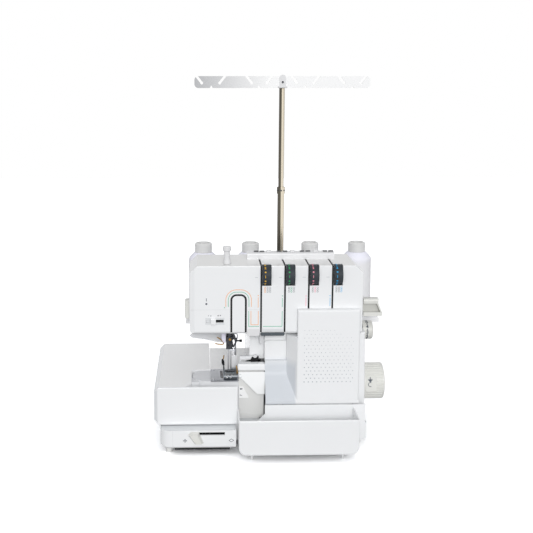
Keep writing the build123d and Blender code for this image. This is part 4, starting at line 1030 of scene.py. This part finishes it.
def presser_fittings():
    """Bracket, clips, thumb screw and wire loop on the presser bar."""
    body = "presser_unit"
    rear, depth = -12.5, 13.0
    near = rear - depth
    bracket = [(-71.5, 186), (-61, 185), (-60, 177), (-61.5, 168.6), (-66, 159.5), (-70.5, 160), (-71.5, 170)]
    flat_piece("presser_bracket", [bracket], front(rear), DARK_STEEL, depth, body, bevel=0.8, low=0.0)
    upper_clip = [(-67, 185.6), (-61.6, 184.4), (-60.8, 177.4), (-63.4, 176.6), (-64.6, 181)]
    lower_clip = [(-69.4, 172.6), (-66.4, 175), (-64.6, 169), (-67.6, 163)]
    flat_piece("presser_clips", [upper_clip, lower_clip], front(near), CHROME, 1.2, body, bevel=0.3, low=-0.3)
    screw = [((-61.0, -56.0), 1.4), ((-56.5, -52.0), 2.4)]
    rod_piece("presser_thumb_screw", screw, -20, 169.7, BLACK_AND_PAINTED_SHADE, body, bevel=0.3)
    loop = [(-66, near, 184.5), (-62, -28.5, 185), (-60.4, -29, 181), (-61.5, -28.5, 176), (-64.5, near, 174)]
    wire("presser_thread_loop", loop, 0.9, STEEL, body)


def foot_guide():
    """Black guide above the presser foot, with its brass pin and dark stem."""
    body = "presser_unit"
    rear, depth = -39.0, 3.0
    middle = rear - depth / 2
    guide = [(-88.6, 142.5), (-88.6, 136), (-87, 132.4), (-83.6, 132.4), (-83.6, 138), (-85.5, 143.4)]
    flat_piece("foot_guide", [guide], front(rear), BLACK_AND_PAINTED_SHADE, depth, body, bevel=0.4, low=0.0)
    pin = [(-84.4, middle, 150), (-85, middle, 146.5), (-86.2, middle, 142)]
    wire("foot_guide_pin", pin, 0.9, BRASS, body)
    stem = [(-85.4, middle, 134), (-85, -41, 124), (-83.6, -42, 115)]
    wire("foot_guide_stem", stem, 0.8, DARK_STEEL, body)


def foot_fittings():
    """Side plates, cross pin, lever, toe slots, rivets, toe pads and wire of the presser foot."""
    body = "presser_unit"
    left, rightmost = FOOT[0]
    toe_start = -57
    toe_slope = 0.69
    lever_bottom, lever_top = 115.6, 118.4

    def toe(u, v, h):
        return Vector((u, v, 116 + (toe_start - v) * toe_slope + h)) * MM
    plate = [(toe_start, 115.5), (-26, 115.5), (-26, 127), (-40, 127), (-50, 122), (toe_start, 119)]
    mesh = bmesh.new()
    for x in (left + 0.4, rightmost - 1.6):
        prism(mesh, plate, right(x), 0.0, 1.2)
    piece("foot_side_plates", mesh, SLATE, body, bevel=0.2)
    pin = [((left + 0.2, rightmost - 0.2), 1.5), ((left + 5.0, rightmost - 5.0), 2.2)]
    rod_piece("foot_cross_pin", pin, -43, 122.5, DARK_STEEL, body, bevel=0.3)
    mesh = bmesh.new()
    box(mesh, (-80.5, -67.5), (toe_start, -50.5), (lever_bottom, lever_top))
    for x in (-82.6, -74.0, -65.4):
        slot = [(x - 0.7, -64.5), (x + 0.7, -64.5), (x + 0.7, toe_start), (x - 0.7, toe_start)]
        prism(mesh, slot, toe, -0.3, 0.25)
    piece("foot_toe_lever", mesh, BLACK_AND_PAINTED_SHADE, body, bevel=0.3)
    rivets = [disc(x, -53.5, 2.0) for x in (-77.4, -70.6)]
    flat_piece("foot_rivets", rivets, above(lever_top), CHROME, 0.9, body, bevel=0.3, low=-0.3)
    pads = [disc(x, 118.8, 1.7) for x in (-80.5, -73.5)]
    flat_piece("foot_toe_pads", pads, front(FOOT[1][0]), CHROME, 0.5, body, bevel=0.2)
    spring = [(-63.4, -48, 133.5), (-61.9, -50, 128), (-61.9, -52, 122), (-62.8, -55.5, 116)]
    wire("foot_wire", spring, 0.9, BRASS, body)


def knife_lever():
    """Black rocker on the upper knife's arm."""
    rocker = [(-47.8, 142.6), (-44, 143.6), (-38.5, 145.3), (-36.5, 149.6), (-34.8, 150.4), (-32.1, 147.7),
              (-29, 148.2), (-26.5, 151.4), (-24.6, 151.4), (-24.2, 146), (-26.5, 142.8), (-31.5, 141.8)]
    flat_piece("knife_rocker", [rocker], front(KNIFE[1][0]), BLACK_AND_PAINTED_SHADE, 2.5, "upper_knife", bevel=0.4,
               low=-1.0)


def plate_marks():
    """Engraved dashes by the front edge of the needle plate and ticks by its left edge."""
    top = above(PLATE[2][1])
    left, near = PLATE[0][0], PLATE[1][0]
    dashes = [rounded((x - 1.0, x + 1.0), (near + 1.6, near + 2.4), 0.3) for x in (-100, -96.8, -93.6)]
    flat_piece("plate_dashes", dashes, top, INKS["dark"], THIN_INK)
    ticks = [rounded((left + 6, left + 14), (y - 0.25, y + 0.25), 0.2) for y in (-52, -44, -36, -28)]
    flat_piece("plate_ticks", ticks, top, INKS["grey"], THIN_INK)


def screw_crosses():
    """Cross recesses on the rear case screws, shown as dark inlays of painted shade."""
    head_screws = 20.6
    rows = [("column", SCREWS[1][1], (-30, 145), (56, 178)), ("head", head_screws, (-125, 135), (215, 300))]
    for name, y, columns, heights in rows:
        crosses = [cross(x, z, 2.0, 0.4) for x in columns for z in heights]
        flat_piece(f"screw_crosses_{name}", crosses, back(y), BLACK_AND_PAINTED_SHADE, 0.06)


# Thread
def package_radius(share, shoulder):
    """Radius of a thread package at a share of its height: nearly straight, then a rounded shoulder."""
    foot, bend, top = 28.0, 27.0, 16.6
    if share < shoulder:
        return foot - (foot - bend) * share / shoulder
    return bend - (bend - top) * ((share - shoulder) / (1 - shoulder)) ** 1.35


def thread_cones():
    """Cross-wound packages with a fine helical relief."""
    low, high = PACKS[2]
    shoulder = (297.0 - low) / (high - low)
    around, up = 120, 72
    bore = 15.0
    strands, twist, ridge = 3, 46, 0.09
    foot_round, foot_rate = 1.2, 22
    mesh = bmesh.new()
    for offset in SPOOL_OFFSETS:
        x = POLE_X + offset
        rings = []
        for j in range(up + 1):
            share = j / up
            radius = package_radius(share, shoulder) - foot_round * max(0.0, 1 - share * foot_rate)
            radii = []
            for i in range(around):
                a = 2 * math.pi * i / around
                wind = math.sin(strands * a + twist * share) + math.sin(strands * a - twist * share)
                radii.append(radius + ridge * wind)
            rings.append(ring_of(mesh, x, POLE_Y, low + (high - low) * share, radii))
        for z in (high, low):
            rings.append(ring_of(mesh, x, POLE_Y, z, [bore] * around))
        join_rings(mesh, rings)
    cones = piece("thread_cones", mesh, THREAD)
    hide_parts("thread_packs")


def pole_dimples():
    """Punched dimples round the pole's collar, as dark discs of painted shade."""
    count = 8
    radius = 7.5
    height = POLE[2][1] - 6

    def place(u, v, h):
        turn = u / radius
        reach = radius + h
        return Vector((POLE_X + reach * math.sin(turn), POLE_Y - reach * math.cos(turn), v)) * MM
    dimples = [disc(2 * math.pi * radius * k / count, height, 1.5, 14) for k in range(count)]
    flat_piece("pole_dimples", dimples, place, DARK_STEEL, 0.12, low=-0.1)


def bar_screw():
    """Screw head on the guide bar's cap, which goes up and down with the stand."""
    bar_middle = 619.0
    head = disc(POLE_X, bar_middle, 2.0, 18)
    flat_piece("bar_screw", [head], front(CAP[1][0]), DARK_STEEL, 0.5, "thread_stand", bevel=0.2, low=-0.1)


# Stage
def light_path_mix(tree, plain, seen):
    """Mixes two shaders so that camera, glossy and transmission rays get the second."""
    rays = add_node(tree, "LightPath").outputs
    straight = arithmetic(tree, "MAXIMUM", rays["Is Camera Ray"], rays["Is Glossy Ray"])
    mix = add_node(tree, "MixShader")
    tree.links.new(arithmetic(tree, "MAXIMUM", straight, rays["Is Transmission Ray"]), mix.inputs["Fac"])
    tree.links.new(plain, mix.inputs[1])
    tree.links.new(seen, mix.inputs[2])
    return mix.outputs["Shader"]


def make_world():
    """Soft sky light, with plain white where the sky is seen."""
    world = bpy.data.worlds.new("studio")
    world.use_nodes = True
    tree = world.node_tree
    plain = tree.nodes["Background"]
    set_inputs(plain, {"Color": (0.97, 0.98, 1.0, 1), "Strength": SKY})
    seen = add_node(tree, "Background", {"Color": (1, 1, 1, 1), "Strength": 1.0})
    mixed = light_path_mix(tree, plain.outputs["Background"], seen.outputs["Background"])
    tree.links.new(mixed, tree.nodes["World Output"].inputs["Surface"])
    bpy.context.scene.world = world


def make_floor():
    """Floor that looks white and casts grey light back on the part."""
    half = 4.0
    corners = [(-half, -half, 0), (half, -half, 0), (half, half, 0), (-half, half, 0)]
    data = bpy.data.meshes.new("floor")
    data.from_pydata(corners, [], [(0, 1, 2, 3)])
    material, tree, shader = new_material("floor")
    set_inputs(shader, {"Base Color": (0.5, 0.5, 0.5, 1), "Roughness": 0.9, "Specular IOR Level": 0.0})
    pale = add_node(tree, "BsdfDiffuse", {"Color": (FLOOR_SEEN, FLOOR_SEEN, FLOOR_SEEN, 1)})
    mixed = light_path_mix(tree, shader.outputs["BSDF"], pale.outputs["BSDF"])
    tree.links.new(mixed, tree.nodes["Material Output"].inputs["Surface"])
    data.materials.append(material)
    floor = new_object("floor", data)


def sun(name, energy, spread, heading, height):
    """A distant lamp seen from the object at a heading right of the front and a height, in degrees."""
    heading = math.radians(heading)
    height = math.radians(height)
    lamp = bpy.data.lights.new(name, "SUN")
    lamp.energy = energy
    lamp.angle = math.radians(spread)
    thing = new_object(name, lamp)
    level = math.cos(height)
    shine = Vector((-math.sin(heading) * level, math.cos(heading) * level, -math.sin(height)))
    thing.rotation_euler = shine.to_track_quat("-Z", "Y").to_euler()
    return thing


def make_lights():
    """A broad key light from the front, and a flat fill from beside the camera that stays off the floor."""
    sun("key_sun", energy=0.45, spread=70, heading=2, height=27)
    fill = sun("fill_sun", energy=1.4, spread=16, heading=0, height=20)
    unlit = bpy.data.collections.new("off_the_fill")
    unlit.objects.link(bpy.data.objects["floor"])
    fill.light_linking.receiver_collection = unlit
    unlit.collection_objects[0].light_linking.link_state = "EXCLUDE"


def make_camera():
    """The photo's view, as it was fitted to the machine's outline."""
    camera = bpy.data.cameras.new("camera")
    camera.lens = 57.88
    camera.sensor_width = 36.0
    camera.shift_x = 0.0827
    camera.shift_y = -0.075
    thing = new_object("camera", camera)
    thing.location = (-0.12465, -1.47377, 0.62259)
    gaze = Vector((0.0258, 0.98537, -0.16849))
    thing.rotation_euler = gaze.to_track_quat("-Z", "Y").to_euler()
    bpy.context.scene.camera = thing


dress_nodes()
groove_liners()
take_up_liner()
thread_guides()
stitch_signs()
head_face_trim()
threader_slide_trim()
tension_ticks()
thread_gate()
rail_fittings()
dial_marks()
feed_dial_marks()
handwheel_label()
cover_print()
base_trim()
knife_cover_signs()
looper_bay_edges()
table_corner()
needle_fittings()
threader_parts()
presser_fittings()
foot_guide()
foot_fittings()
knife_lever()
plate_marks()
screw_crosses()
thread_cones()
pole_dimples()
bar_screw()
make_world()
make_floor()
make_lights()
make_camera()
bpy.context.scene.view_settings.view_transform = "Standard"
